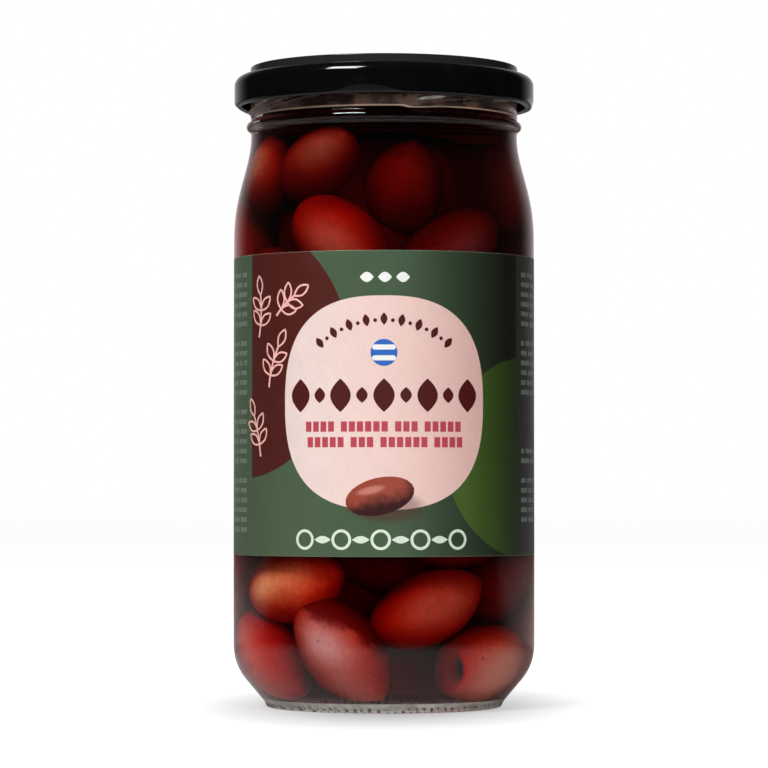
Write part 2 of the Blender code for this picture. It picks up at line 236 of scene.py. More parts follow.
class Graph:
    """A node tree, written as formulas on sockets and numbers."""

    def __init__(self, owner: bpy.types.Material | bpy.types.World, output: str) -> None:
        """Empties the owner's tree and gives it an output of the named type.

        Args:
            owner: Material or world that has the tree.
            output: Blender's name of the output's type.
        """
        self.owner = owner
        owner.use_nodes = True
        self.tree = owner.node_tree
        self.tree.nodes.clear()
        self.output = self.tree.nodes.new(output)

    @classmethod
    def material(cls, name: str) -> "Graph":
        """Makes a new material's graph."""
        return cls(bpy.data.materials.new(name), "ShaderNodeOutputMaterial")

    def put(self, socket: Socket, value: Value | Colour) -> None:
        """Links a socket into another, or sets its value."""
        if isinstance(value, bpy.types.NodeSocket):
            self.tree.links.new(value, socket)
        elif isinstance(value, tuple) and len(value) == 3 and len(socket.default_value) == 4:
            socket.default_value = (*value, 1.0)
        else:
            socket.default_value = value

    def node(self, kind: str, inputs: dict | None = None, **settings) -> bpy.types.Node:
        """Adds a node.

        Args:
            kind: Blender's name of the node type.
            inputs: Values or sockets by input name or index.
            settings: Properties of the node.

        Returns:
            The new node.
        """
        node = self.tree.nodes.new(kind)
        for title, setting in settings.items():
            setattr(node, title, setting)
        for title, value in (inputs or {}).items():
            self.put(node.inputs[title], value)
        return node

    def math(self, operation: str, first: Value, second: Value = 0.0) -> Socket:
        """One Math node on numbers or sockets."""
        return self.node("ShaderNodeMath", {0: first, 1: second}, operation=operation).outputs[0]

    def add(self, first: Value, second: Value) -> Socket:
        """Sum of two values."""
        return self.math("ADD", first, second)

    def less(self, first: Value, second: Value) -> Socket:
        """First value less the second."""
        return self.math("SUBTRACT", first, second)

    def times(self, first: Value, second: Value) -> Socket:
        """Product of two values."""
        return self.math("MULTIPLY", first, second)

    def blend(self, first: Value, second: Value, shares: Pair) -> Socket:
        """Sum of a share of each value."""
        return self.add(self.times(first, shares[0]), self.times(second, shares[1]))

    def squares(self, right: Value, up: Value) -> Socket:
        """Sum of the squares of two values."""
        return self.add(self.times(right, right), self.times(up, up))

    def length(self, right: Value, up: Value) -> Socket:
        """Length of an offset."""
        return self.math("SQRT", self.squares(right, up))

    def oval(self, right: Value, up: Value, spec: Oval) -> Socket:
        """((right - a) / c)^2 + ((up - b) / d)^2, which is 1 on the oval (a, b, c, d)."""
        return self.squares(self.math("DIVIDE", self.less(right, spec[0]), spec[2]),
                            self.math("DIVIDE", self.less(up, spec[1]), spec[3]))

    def soft_step(self, value: Value, edge: float, width: float) -> Socket:
        """Goes from 0 to 1 as the value passes the edge, over the width."""
        shape = {"Value": value, "From Min": edge - 0.5 * width, "From Max": edge + 0.5 * width}
        return self.node("ShaderNodeMapRange", shape, interpolation_type="SMOOTHSTEP").outputs[0]

    def soft_drop(self, value: Value, edge: float, width: float) -> Socket:
        """Goes from 1 to 0 as the value passes the edge, over the width."""
        return self.less(1.0, self.soft_step(value, edge, width))

    def span(self, value: Value, low: float, high: float, to_low: float = 0.0,
             to_high: float = 1.0) -> Socket:
        """Maps a value linearly from one range to another, without passing its ends."""
        shape = {"Value": value, "From Min": low, "From Max": high, "To Min": to_low, "To Max": to_high}
        return self.node("ShaderNodeMapRange", shape).outputs[0]

    def spread(self, noise: Socket, to_low: float, to_high: float) -> Socket:
        """Spreads a noise over a range."""
        return self.span(noise, NOISE_LOW, NOISE_HIGH, to_low, to_high)

    def mix(self, factor: Value, first: Paint, second: Paint) -> Socket:
        """Blends two colours by a factor from 0 to 1."""
        return self.node("ShaderNodeMix", {0: factor, 6: first, 7: second}, data_type="RGBA").outputs[2]

    def shaded(self, colour: Paint, value: Socket) -> Socket:
        """A colour made lighter or darker by a factor."""
        return self.node("ShaderNodeHueSaturation", {"Color": colour, "Value": value}).outputs[0]

    def grey(self, value: Socket) -> Socket:
        """A colour with the same red, green and blue."""
        return self.node("ShaderNodeCombineColor", {0: value, 1: value, 2: value}).outputs[0]

    def place(self) -> list[Socket]:
        """X, Y and Z on the piece, in metres."""
        spot = self.node("ShaderNodeTexCoord").outputs["Object"]
        return list(self.node("ShaderNodeSeparateXYZ", {0: spot}).outputs)

    def round_place(self, radius: float) -> tuple[Socket, Socket]:
        """Distance round the front, azimuth times a radius, and height, both in millimetres."""
        x, y, z = self.place()
        return self.times(self.azimuth(x, y), radius / MM), self.times(z, 1.0 / MM)

    def azimuth(self, x: Socket, y: Socket) -> Socket:
        """Azimuth of a place: the arctangent of x over -y."""
        return self.math("ARCTAN2", x, self.times(y, -1.0))

    def noise(self, noise: Noise) -> Socket:
        """Noise on the piece, from 0 to 1.

        Args:
            noise: Its scale, layers and roughness.

        Returns:
            The noise.
        """
        spot = self.node("ShaderNodeTexCoord").outputs["Object"]
        inputs = {"Vector": spot, "Scale": noise.scale, "Detail": noise.detail, "Roughness": noise.roughness}
        return self.node("ShaderNodeTexNoise", inputs).outputs["Fac"]

    def relief(self, height: Value, depth: float, strength: float = 1.0) -> Socket:
        """A bump normal from a height that goes from 0 to 1 over the depth in metres."""
        shape = {"Height": height, "Distance": depth, "Strength": strength}
        return self.node("ShaderNodeBump", shape).outputs[0]

    def for_camera(self, others: Socket, camera: Socket) -> Socket:
        """One shader for the camera's own rays and another for all others."""
        is_seen = self.node("ShaderNodeLightPath").outputs["Is Camera Ray"]
        return self.node("ShaderNodeMixShader", {0: is_seen, 1: others, 2: camera}).outputs[0]

    def surface(self, **inputs) -> Socket:
        """Adds the Principled shader, with spaces in its input names written as underscores."""
        named = {title.replace("_", " "): value for title, value in inputs.items()}
        return self.node("ShaderNodeBsdfPrincipled", named).outputs[0]

    def finish(self, shader: Socket) -> bpy.types.Material | bpy.types.World:
        """Sends a shader to the surface and returns the graph's owner."""
        self.tree.links.new(shader, self.output.inputs["Surface"])
        return self.owner

    def finish_clear(self, shader: Socket) -> bpy.types.Material:
        """Finishes a clear piece, which light from lamps and from dull surfaces passes straight.

        Args:
            shader: Shader of the clear piece.

        Returns:
            The material.
        """
        clear = self.node("ShaderNodeBsdfTransparent").outputs[0]
        rays = self.node("ShaderNodeLightPath").outputs
        for kind in ("Is Diffuse Ray", "Is Shadow Ray"):
            shader = self.node("ShaderNodeMixShader", {0: rays[kind], 1: shader, 2: clear}).outputs[0]
        return self.finish(shader)


@dataclass(frozen=True)
class ClearGlass:
    """Clear soda-lime glass with faint waves from the mould.

    A black mirror colour takes out the gleam where brine wets the wall. The haze is a faint dull bloom that
    shows where the glass is seen at a slant.
    """

    name: str = "clear_glass"
    mirror: Colour = WHITE
    haze: float = 0.0
    haze_tint: Colour = (0.62, 0.17, 0.13)
    haze_roughness: float = 0.34
    waves: Noise = Noise(90.0)
    wave_depth: float = 0.03 * MM

    def material(self) -> bpy.types.Material:
        """Builds the material.

        Returns:
            The material.
        """
        graph = Graph.material(self.name)
        normal = graph.relief(graph.noise(self.waves), self.wave_depth)
        shader = graph.surface(Base_Color=WHITE, Roughness=0.0, IOR=GLASS_IOR, Transmission_Weight=1.0,
                               Specular_Tint=self.mirror, Sheen_Weight=self.haze,
                               Sheen_Roughness=self.haze_roughness, Sheen_Tint=self.haze_tint, Normal=normal)
        return graph.finish_clear(shader)


@dataclass(frozen=True)
class FilmedGlass:
    """The inside of the neck above the brine: a patchy brown film, with a pale line where the brine ends."""

    brine_level: float
    colour: Colour = (0.36, 0.21, 0.16)
    line: Colour = (0.85, 0.62, 0.45)
    line_top: float = 0.35 * MM
    line_blur: float = 0.25 * MM
    line_clear: float = 0.35
    covered: float = 0.45
    clear: float = 0.94
    patches: Noise = Noise(150.0, 3.0)
    patch_range: Pair = (0.42, 0.58)
    depth: float = 0.15 * MM
    roughness: float = 0.2

    def material(self) -> bpy.types.Material:
        """Builds the material: noise thins the film, and a soft step in height gives the line.

        Returns:
            The material.
        """
        graph = Graph.material("filmed_glass")
        patches = graph.noise(self.patches)
        edge = graph.soft_drop(graph.place()[2], self.brine_level + self.line_top, self.line_blur)
        film = graph.span(patches, *self.patch_range, self.covered, self.clear)
        through = graph.times(film, graph.span(edge, 0.0, 1.0, 1.0, self.line_clear))
        shader = graph.surface(Base_Color=graph.mix(edge, self.colour, self.line), Roughness=self.roughness,
                               IOR=GLASS_IOR, Transmission_Weight=through,
                               Normal=graph.relief(patches, self.depth))
        return graph.finish_clear(shader)


@dataclass(frozen=True)
class StippledGlass:
    """The foot's moulded stipple, which scatters light where the jar stands, with dark notches round it.

    The notches' darkness is painted shade, and the pale bottom edge is a painted highlight.
    """

    colours: tuple[Colour, Colour] = ((0.46, 0.44, 0.39), (0.84, 0.84, 0.76))
    # Painted shade in the notches round the foot
    notch_shade: Colour = (0.20, 0.175, 0.13)
    # Painted highlight along the foot's bottom edge
    edge: Colour = (0.95, 0.95, 0.90)
    clouds: Noise = Noise(240.0)
    cloud_range: Pair = (0.35, 0.65)
    pits: Noise = Noise(900.0)
    pit_depth: float = 0.25 * MM
    notch_count: float = 96.0
    notch_slant: float = 2600.0
    notch_noise: float = 1.6
    notch_edge: Pair = (0.75, 0.5)
    notch_top: Pair = (1.25 * MM, 0.5 * MM)
    highlight_top: Pair = (0.6 * MM, 0.3 * MM)
    roughness: float = 0.28
    transmission: float = 0.35

    def material(self) -> bpy.types.Material:
        """Builds the material: a cosine of azimuth and height, roughened by noise, paints shade in the
        notches.

        Returns:
            The material.
        """
        graph = Graph.material("stippled_glass")
        pits = graph.noise(self.pits)
        x, y, z = graph.place()
        turns = graph.add(graph.times(graph.azimuth(x, y), self.notch_count),
                          graph.times(z, self.notch_slant))
        rough = graph.less(graph.spread(pits, -self.notch_noise, self.notch_noise),
                           graph.math("COSINE", turns))
        # Painted shade darkens the notches
        notch_shade_share = graph.times(graph.soft_step(rough, *self.notch_edge), graph.soft_drop(z, *self.notch_top))
        plain = graph.mix(graph.span(graph.noise(self.clouds), *self.cloud_range), *self.colours)
        # Painted highlight along the bottom edge
        plain_with_highlight = graph.mix(graph.soft_drop(z, *self.highlight_top), plain, self.edge)
        shader = graph.surface(Base_Color=graph.mix(notch_shade_share, plain_with_highlight, self.notch_shade), Roughness=self.roughness,
                               IOR=GLASS_IOR, Transmission_Weight=self.transmission,
                               Normal=graph.relief(pits, self.pit_depth))
        return graph.finish_clear(shader)


@dataclass(frozen=True)
class Brine:
    """Dark wine-red brine. Light fades by exp(-density (1 - colour) path)."""

    ior: float = 1.34
    colour: Colour = (0.86, 0.30, 0.17)
    density: float = 620.0

    def material(self) -> bpy.types.Material:
        """Builds the material.

        Returns:
            The material.
        """
        graph = Graph.material("brine")
        shader = graph.surface(Base_Color=WHITE, Roughness=0.0, IOR=self.ior, Transmission_Weight=1.0,
                               Specular_Tint=BLACK)
        depth = graph.node("ShaderNodeVolumeAbsorption", {"Color": self.colour, "Density": self.density})
        graph.tree.links.new(depth.outputs[0], graph.output.inputs["Volume"])
        return graph.finish_clear(shader)


@dataclass(frozen=True)
class BlackLacquer:
    """Gloss black lacquer on tinplate, a little uneven and rubbed, and greyer on the raised panel.

    The panel's grey is a painted dim reflection of the room.
    """

    colour: Colour = (0.0022, 0.0022, 0.0026)
    rubbed: Colour = (0.004, 0.004, 0.0046)
    # Painted dim reflection of the room on the raised panel
    panel_reflection_grey: Colour = (0.020, 0.0195, 0.021)
    panel_reflection_edge: Pair = (30.0 * MM, 0.15 * MM)
    roughness: Pair = (0.07, 0.11)
    clouds: Noise = Noise(160.0, 4.0)
    cloud_edge: Pair = (0.62, 0.2)
    skin: Noise = Noise(1500.0)
    skin_depth: float = 0.01 * MM
    skin_strength: float = 0.6

    def material(self) -> bpy.types.Material:
        """Builds the material: clouds of noise rub the lacquer, and a soft step in radius greys it.

        Returns:
            The material.
        """
        graph = Graph.material("black_lacquer")
        cloud = graph.noise(self.clouds)
        out = graph.length(*graph.place()[:2])
        lacquer = graph.mix(graph.soft_step(cloud, *self.cloud_edge), self.colour, self.rubbed)
        # Painted reflection: the raised panel is greyer
        colour = graph.mix(graph.soft_step(out, *self.panel_reflection_edge), self.panel_reflection_grey, lacquer)
        normal = graph.relief(graph.noise(self.skin), self.skin_depth, self.skin_strength)
        shader = graph.surface(Base_Color=colour, Roughness=graph.spread(cloud, *self.roughness),
                               IOR=GLASS_IOR, Normal=normal)
        return graph.finish(shader)


@dataclass(frozen=True)
class OliveSkin:
    """Wet olive skin. Each olive has two tones of its own, which clouds of noise blend.

    On one olive the blend puts its dark blush, as painted shade, on its upper right side.
    The cut olive's blush holds painted shade in its hole.
    """

    speck: Colour = (0.05, 0.012, 0.015)
    speck_noise: Noise = Noise(420.0, 1.0)
    speck_edge: Pair = (0.76, 0.06)
    speck_share: float = 0.7
    clouds: Noise = Noise(130.0, 4.0, 0.6)
    cloud_share: float = 0.35
    blend_edge: Pair = (0.5, 0.5)
    grain: Noise = Noise(900.0, 3.0, 0.6)
    grain_values: Pair = (0.88, 1.12)
    relief_shares: Pair = (0.8, 0.2)
    depth: float = 0.2 * MM
    roughness: float = 0.34

    def material(self) -> bpy.types.Material:
        """Builds the material from the piece's own colours tone, blush and shade.

        Returns:
            The material.
        """
        graph = Graph.material("olive_skin")
        tone, blush, shade = (graph.node("ShaderNodeAttribute", attribute_name=title)
                              for title in ("tone", "blush", "shade"))
        cloud = graph.noise(self.clouds)
        grain = graph.noise(self.grain)
        blend = graph.add(shade.outputs["Fac"], graph.spread(cloud, -self.cloud_share, self.cloud_share))
        colour = graph.mix(graph.soft_step(blend, *self.blend_edge), tone.outputs["Color"],
                           blush.outputs["Color"])
        specks = graph.soft_step(graph.noise(self.speck_noise), *self.speck_edge)
        spotted = graph.mix(graph.times(specks, self.speck_share), colour, self.speck)
        creases = graph.blend(cloud, grain, self.relief_shares)
        shader = graph.surface(Base_Color=graph.shaded(spotted, graph.spread(grain, *self.grain_values)),
                               Roughness=self.roughness, Specular_IOR_Level=0.0,
                               Normal=graph.relief(creases, self.depth))
        return graph.finish(shader)


class Ink(Enum):
    """Inks of the printed label, as linear colours, with the layer each is printed in."""

    DARK_WORD = (0.072, 0.0075, 0.0068, 0)
    BLUE = (0.018, 0.13, 0.50, 0)
    FRUIT = (0.40, 0.085, 0.045, 1)
    CRIMSON = (0.49, 0.058, 0.088, 0)
    ROSE = (0.96, 0.50, 0.46, 0)
    PALE_GREEN = (0.66, 0.78, 0.63, 0)
    SIDE_TEXT = (0.20, 0.25, 0.19, 0)
    WHITE = (0.86, 0.86, 0.84, 1)

    @property
    def colour(self) -> Colour:
        """Linear colour."""
        return self.value[:3]

    @property
    def layer(self) -> int:
        """0 for ink on the paper and 1 for ink on ink."""
        return self.value[3]


@dataclass(frozen=True)
class PrintedInk:
    """One ink on the label's satin varnish."""

    ink: Ink
    roughness: float = 0.42
    grain: Noise = Noise(2600.0)
    grain_values: Pair = (0.94, 1.06)
    depth: float = 0.01 * MM
    strength: float = 0.5

    def material(self) -> bpy.types.Material:
        """Builds the material.

        Returns:
            The material.
        """
        graph = Graph.material("ink_" + self.ink.name.lower())
        grain = graph.noise(self.grain)
        colour = graph.shaded(self.ink.colour, graph.spread(grain, *self.grain_values))
        shader = graph.surface(Base_Color=colour, Roughness=self.roughness,
                               Normal=graph.relief(grain, self.depth, self.strength))
        return graph.finish(shader)


@dataclass(frozen=True)
class PrintedFruit:
    """The printed olive: terracotta above, dark maroon below, with a pale gleam and mottled skin.

    Its places are in millimetres from its middle, along its length and up its width.
    """

    middle: Pair = (-0.9, 46.9)
    turn: float = 13.0
    dark: Colour = (0.036, 0.006, 0.007)
    bright: Colour = (0.31, 0.055, 0.032)
    gleam: Colour = (0.62, 0.24, 0.18)
    clouds: Noise = Noise(420.0, 4.0, 0.6)
    cloud_shift: float = 0.9
    bright_edge: Pair = (-0.7, 3.4)
    gleam_oval: Oval = (-1.6, 1.7, 3.6, 1.0)
    gleam_edge: Pair = (0.6, 1.1)
    gleam_share: float = 0.75
    tip_edge: Pair = (6.0, 1.6)
    tip_share: float = 0.5
    roughness: float = 0.42
    depth: float = 0.01 * MM
    strength: float = 0.5

    def material(self, radius: float) -> bpy.types.Material:
        """Builds the material for a label of the given radius: bands across the fruit's tilted width.

        Args:
            radius: Radius of the paper.

        Returns:
            The material.
        """
        graph = Graph.material("ink_fruit")
        across, height = graph.round_place(radius)
        right = graph.less(across, self.middle[0])
        up = graph.less(height, self.middle[1])
        cosine, sine = math.cos(math.radians(self.turn)), math.sin(math.radians(self.turn))
        rise = graph.less(graph.times(up, cosine), graph.times(right, sine))
        along = graph.add(graph.times(right, cosine), graph.times(up, sine))
        cloud = graph.noise(self.clouds)
        shifted = graph.add(rise, graph.spread(cloud, -self.cloud_shift, self.cloud_shift))
        colour = graph.mix(graph.soft_step(shifted, *self.bright_edge), self.dark, self.bright)
        patch = graph.soft_drop(graph.oval(along, rise, self.gleam_oval), *self.gleam_edge)
        colour = graph.mix(graph.times(patch, self.gleam_share), colour, self.gleam)
        tip = graph.soft_step(along, *self.tip_edge)
        colour = graph.mix(graph.times(tip, self.tip_share), colour, self.dark)
        shader = graph.surface(Base_Color=colour, Roughness=self.roughness,
                               Normal=graph.relief(cloud, self.depth, self.strength))
        return graph.finish(shader)


@dataclass(frozen=True)
class PrintedPaper:
    """The label's paper with its printed fields, and painted shade in its greens.

    Field places are (across, height) in millimetres.

    Across is the distance round the paper from the front, azimuth times the jar's radius.
    """

    radius: float
    panel_middle: float = 66.95
    panel_half: Pair = (23.2, 23.0)
    panel_power: float = 2.5
    panel_blur: float = 0.014
    maroon_disc: tuple[float, float, float] = (-36.0, 79.1, 28.2)
    green_disc: tuple[float, float, float] = (35.3, 55.3, 21.6)
    front_half: float = 34.75
    ink_blur: float = 0.12
    low: float = 33.9
    high: float = 99.7
    bare_line: float = 0.16
    bare_blur: float = 0.06
    bare_share: float = 0.12
    # Bare paper at the cut edges, partly a painted edge highlight
    bare_paper_and_highlight: Colour = (0.55, 0.52, 0.45)
    # Painted shade: the leaf green darkens to the right
    shaded_leaf_greens: tuple[Colour, Colour, Colour] = ((0.072, 0.112, 0.060), (0.054, 0.096, 0.050),
                                                 (0.008, 0.009, 0.004))
    leaf_shade_spans: tuple[Pair, Pair] = ((-22.0, 2.0), (2.0, 31.0))
    # Painted shade: the field green darkens to the right
    shaded_field_green: tuple[Colour, Colour] = ((0.0615, 0.119, 0.0204), (0.0185, 0.038, 0.0062))
    field_shade_span: Pair = (18.0, 34.0)
    blush: tuple[Colour, Colour] = ((0.84, 0.675, 0.627), (0.82, 0.52, 0.468))
    blush_span: Pair = (-18.0, 20.0)
    maroon: Colour = (0.078, 0.012, 0.0085)
    # Painted shade on the right side panel, fading back to green behind
    side_shade: Colour = (0.027, 0.029, 0.022)
    side_shade_fade: Pair = (50.0, 85.0)
    shadow: Oval = (0.6, 44.6, 8.6, 3.6)
    shadow_edge: Pair = (0.8, 0.9)
    shadow_share: float = 0.55
    mottle: Noise = Noise(240.0, 5.0, 0.65)
    mottle_values: Pair = (0.975, 1.025)
    fibres: Noise = Noise(2600.0)
    fibre_values: Pair = (0.96, 1.04)
    relief_shares: Pair = (0.7, 0.3)
    depth: float = 0.02 * MM
    roughness: Pair = (0.36, 0.46)

    def disc(self, graph: Graph, across: Socket, height: Socket, spec: tuple[float, float, float]) -> Socket:
        """1 inside a disc given as (across, height, radius), and 0 outside."""
        distance = graph.length(graph.less(across, spec[0]), graph.less(height, spec[1]))
        return graph.soft_drop(distance, spec[2], self.ink_blur)

    def panel(self, graph: Graph, across: Socket, height: Socket) -> Socket:
        """1 inside the rounded square where (|across| / a)^p + (|height| / b)^p is under 1.

        Args:
            graph: Graph of the material.
            across: Distance round the paper.
            height: Height on the paper.

        Returns:
            The panel's share.
        """
        powers = []
        for value, half in zip((across, graph.less(height, self.panel_middle)), self.panel_half):
            share = graph.math("DIVIDE", graph.math("ABSOLUTE", value), half)
            powers.append(graph.math("POWER", share, self.panel_power))
        return graph.soft_drop(graph.add(*powers), 1.0, self.panel_blur)

    def greens(self, graph: Graph, across: Socket) -> Socket:
        """The ground colour: green that darkens to the right, and the darker right side, both painted shade.

        Args:
            graph: Graph of the material.
            across: Distance round the paper.

        Returns:
            The colour.
        """
        # Painted shade: the ground green darkens to the right, and the right side is darker
        leaf = graph.mix(graph.span(across, *self.leaf_shade_spans[0]), *self.shaded_leaf_greens[:2])
        leaf = graph.mix(graph.span(across, *self.leaf_shade_spans[1]), leaf, self.shaded_leaf_greens[2])
        side = graph.mix(graph.span(across, *self.side_shade_fade), self.side_shade, self.shaded_leaf_greens[0])
        return graph.mix(graph.soft_step(across, self.front_half, self.ink_blur), leaf, side)

    def fields(self, graph: Graph, across: Socket, height: Socket) -> Socket:
        """The printed colour: ground, discs, panel, the fruit's soft shadow and the bare cut edges.

        The greens darken to the right as painted shade, and the bare edges carry a painted edge highlight.

        Args:
            graph: Graph of the material.
            across: Distance round the paper.
            height: Height on the paper.

        Returns:
            The colour.
        """
        front = graph.soft_drop(graph.math("ABSOLUTE", across), self.front_half, self.ink_blur)
        maroon = graph.times(front, self.disc(graph, across, height, self.maroon_disc))
        green = graph.times(front, self.disc(graph, across, height, self.green_disc))
        # Painted shade: the field green darkens to the right
        shaded_field_green = graph.mix(graph.span(across, *self.field_shade_span), *self.shaded_field_green)
        colour = graph.mix(maroon, graph.mix(green, self.greens(graph, across), shaded_field_green), self.maroon)
        blush = graph.mix(graph.span(across, *self.blush_span), *self.blush)
        colour = graph.mix(self.panel(graph, across, height), colour, blush)
        under = graph.soft_drop(graph.oval(across, height, self.shadow), *self.shadow_edge)
        colour = graph.mix(graph.times(under, self.shadow_share), colour, self.maroon)
        # Bare paper at the cut edges, partly a painted edge highlight
        bare = graph.add(graph.soft_drop(height, self.low + self.bare_line, self.bare_blur),
                         graph.soft_step(height, self.high - self.bare_line, self.bare_blur))
        return graph.mix(graph.times(bare, self.bare_share), colour, self.bare_paper_and_highlight)

    def material(self) -> bpy.types.Material:
        """Builds the material: the fields, made a little uneven by mottle and fibres.

        Returns:
            The material.
        """
        graph = Graph.material("printed_paper")
        colour = self.fields(graph, *graph.round_place(self.radius))
        mottle = graph.noise(self.mottle)
        fibre = graph.noise(self.fibres)
        value = graph.times(graph.spread(mottle, *self.mottle_values),
                            graph.spread(fibre, *self.fibre_values))
        rise = graph.blend(mottle, fibre, self.relief_shares)
        shader = graph.surface(Base_Color=graph.shaded(colour, value),
                               Roughness=graph.spread(mottle, *self.roughness),
                               Normal=graph.relief(rise, self.depth))
        return graph.finish(shader)


@dataclass(frozen=True)
class JarForm:
    """The jar's own measures, which the glass, the brine, the label and the olives all follow."""

    body_radius: float
    label_low: float
    label_high: float
    neck_radius: float = 29.7 * MM
    shoulder_start: float = 102.0 * MM
    neck_start: float = 127.0 * MM
    shoulder_power: float = 1.35
    panel_depth: float = 0.25 * MM
    wall: float = 2.5 * MM
    foot: Pair = (23.4 * MM, 25.2 * MM)
    heel_low: Pair = (26.0 * MM, 0.6 * MM)
    heel_high: Pair = (30.9 * MM, 6.4 * MM)
    heel_round_top: float = 15.0 * MM
    heel_power: float = 2.6
    floor_edge: Pair = (21.4 * MM, 2.6 * MM)
    floor_corner: float = 9.6 * MM
    floor_middle: float = 4.4 * MM
    push_up: Pair = (19.0 * MM, 2.4 * MM)
    rim_top: float = 139.6 * MM
    brine_level: float = 131.3 * MM

    def shoulder_radius(self, height: np.ndarray) -> np.ndarray:
        """Outer radius: body less a cosine half wave of the height along the shoulder to a power.

        Args:
            height: Heights.

        Returns:
            The radii.
        """
        along = np.clip((height - self.shoulder_start) / (self.neck_start - self.shoulder_start), 0.0, 1.0)
        drop = 0.5 * (1.0 - np.cos(np.pi * along ** self.shoulder_power))
        return self.body_radius - (self.body_radius - self.neck_radius) * drop

    def heel_radius(self, height: np.ndarray) -> np.ndarray:
        """Outer radius of the rounded heel: body less a power of the distance below its top."""
        along = (self.heel_round_top - height) / (self.heel_round_top - self.heel_high[1])
        return self.body_radius - (self.body_radius - self.heel_high[0]) * along ** self.heel_power

    def inner_radius(self, height: np.ndarray) -> np.ndarray:
        """Inner radius: a round floor corner, then a wall of even thickness.

        Args:
            height: Heights.

        Returns:
            The radii.
        """
        drop = np.clip(self.floor_edge[1] + self.floor_corner - height, 0.0, self.floor_corner)
        corner = self.floor_edge[0] + np.sqrt(self.floor_corner ** 2 - drop ** 2)
        return np.where(drop > 0.0, corner, self.shoulder_radius(height) - self.wall)

    def floor_height(self, radius: np.ndarray) -> np.ndarray:
        """Height of the inner floor, a shallow dome: middle less a square of the radius."""
        along = np.clip(radius / self.floor_edge[0], 0.0, 1.0)
        return self.floor_middle + (self.floor_edge[1] - self.floor_middle) * along ** 2

    def inside_profile(self, outwards: float, top: float) -> np.ndarray:
        """The inner surface from a height near the mouth down to the middle of the floor.

        Args:
            outwards: How far the profile lies outside the inner surface, into the glass.
            top: Height at which it starts.

        Returns:
            Rows of (r, z), from the top down and in to the axis.
        """
        heights = np.linspace(top, self.shoulder_start, 34)
        wall = np.column_stack([self.inner_radius(heights) + outwards, heights])
        centre = (self.floor_edge[0], self.floor_edge[1] + self.floor_corner)
        corner = arc(centre, self.floor_corner + outwards, 0.0, -90.0, 14)
        radii = np.linspace(self.floor_edge[0], 0.0, 10)[1:]
        floor = np.column_stack([radii, self.floor_height(radii) - outwards])
        return np.vstack([wall, corner, floor])


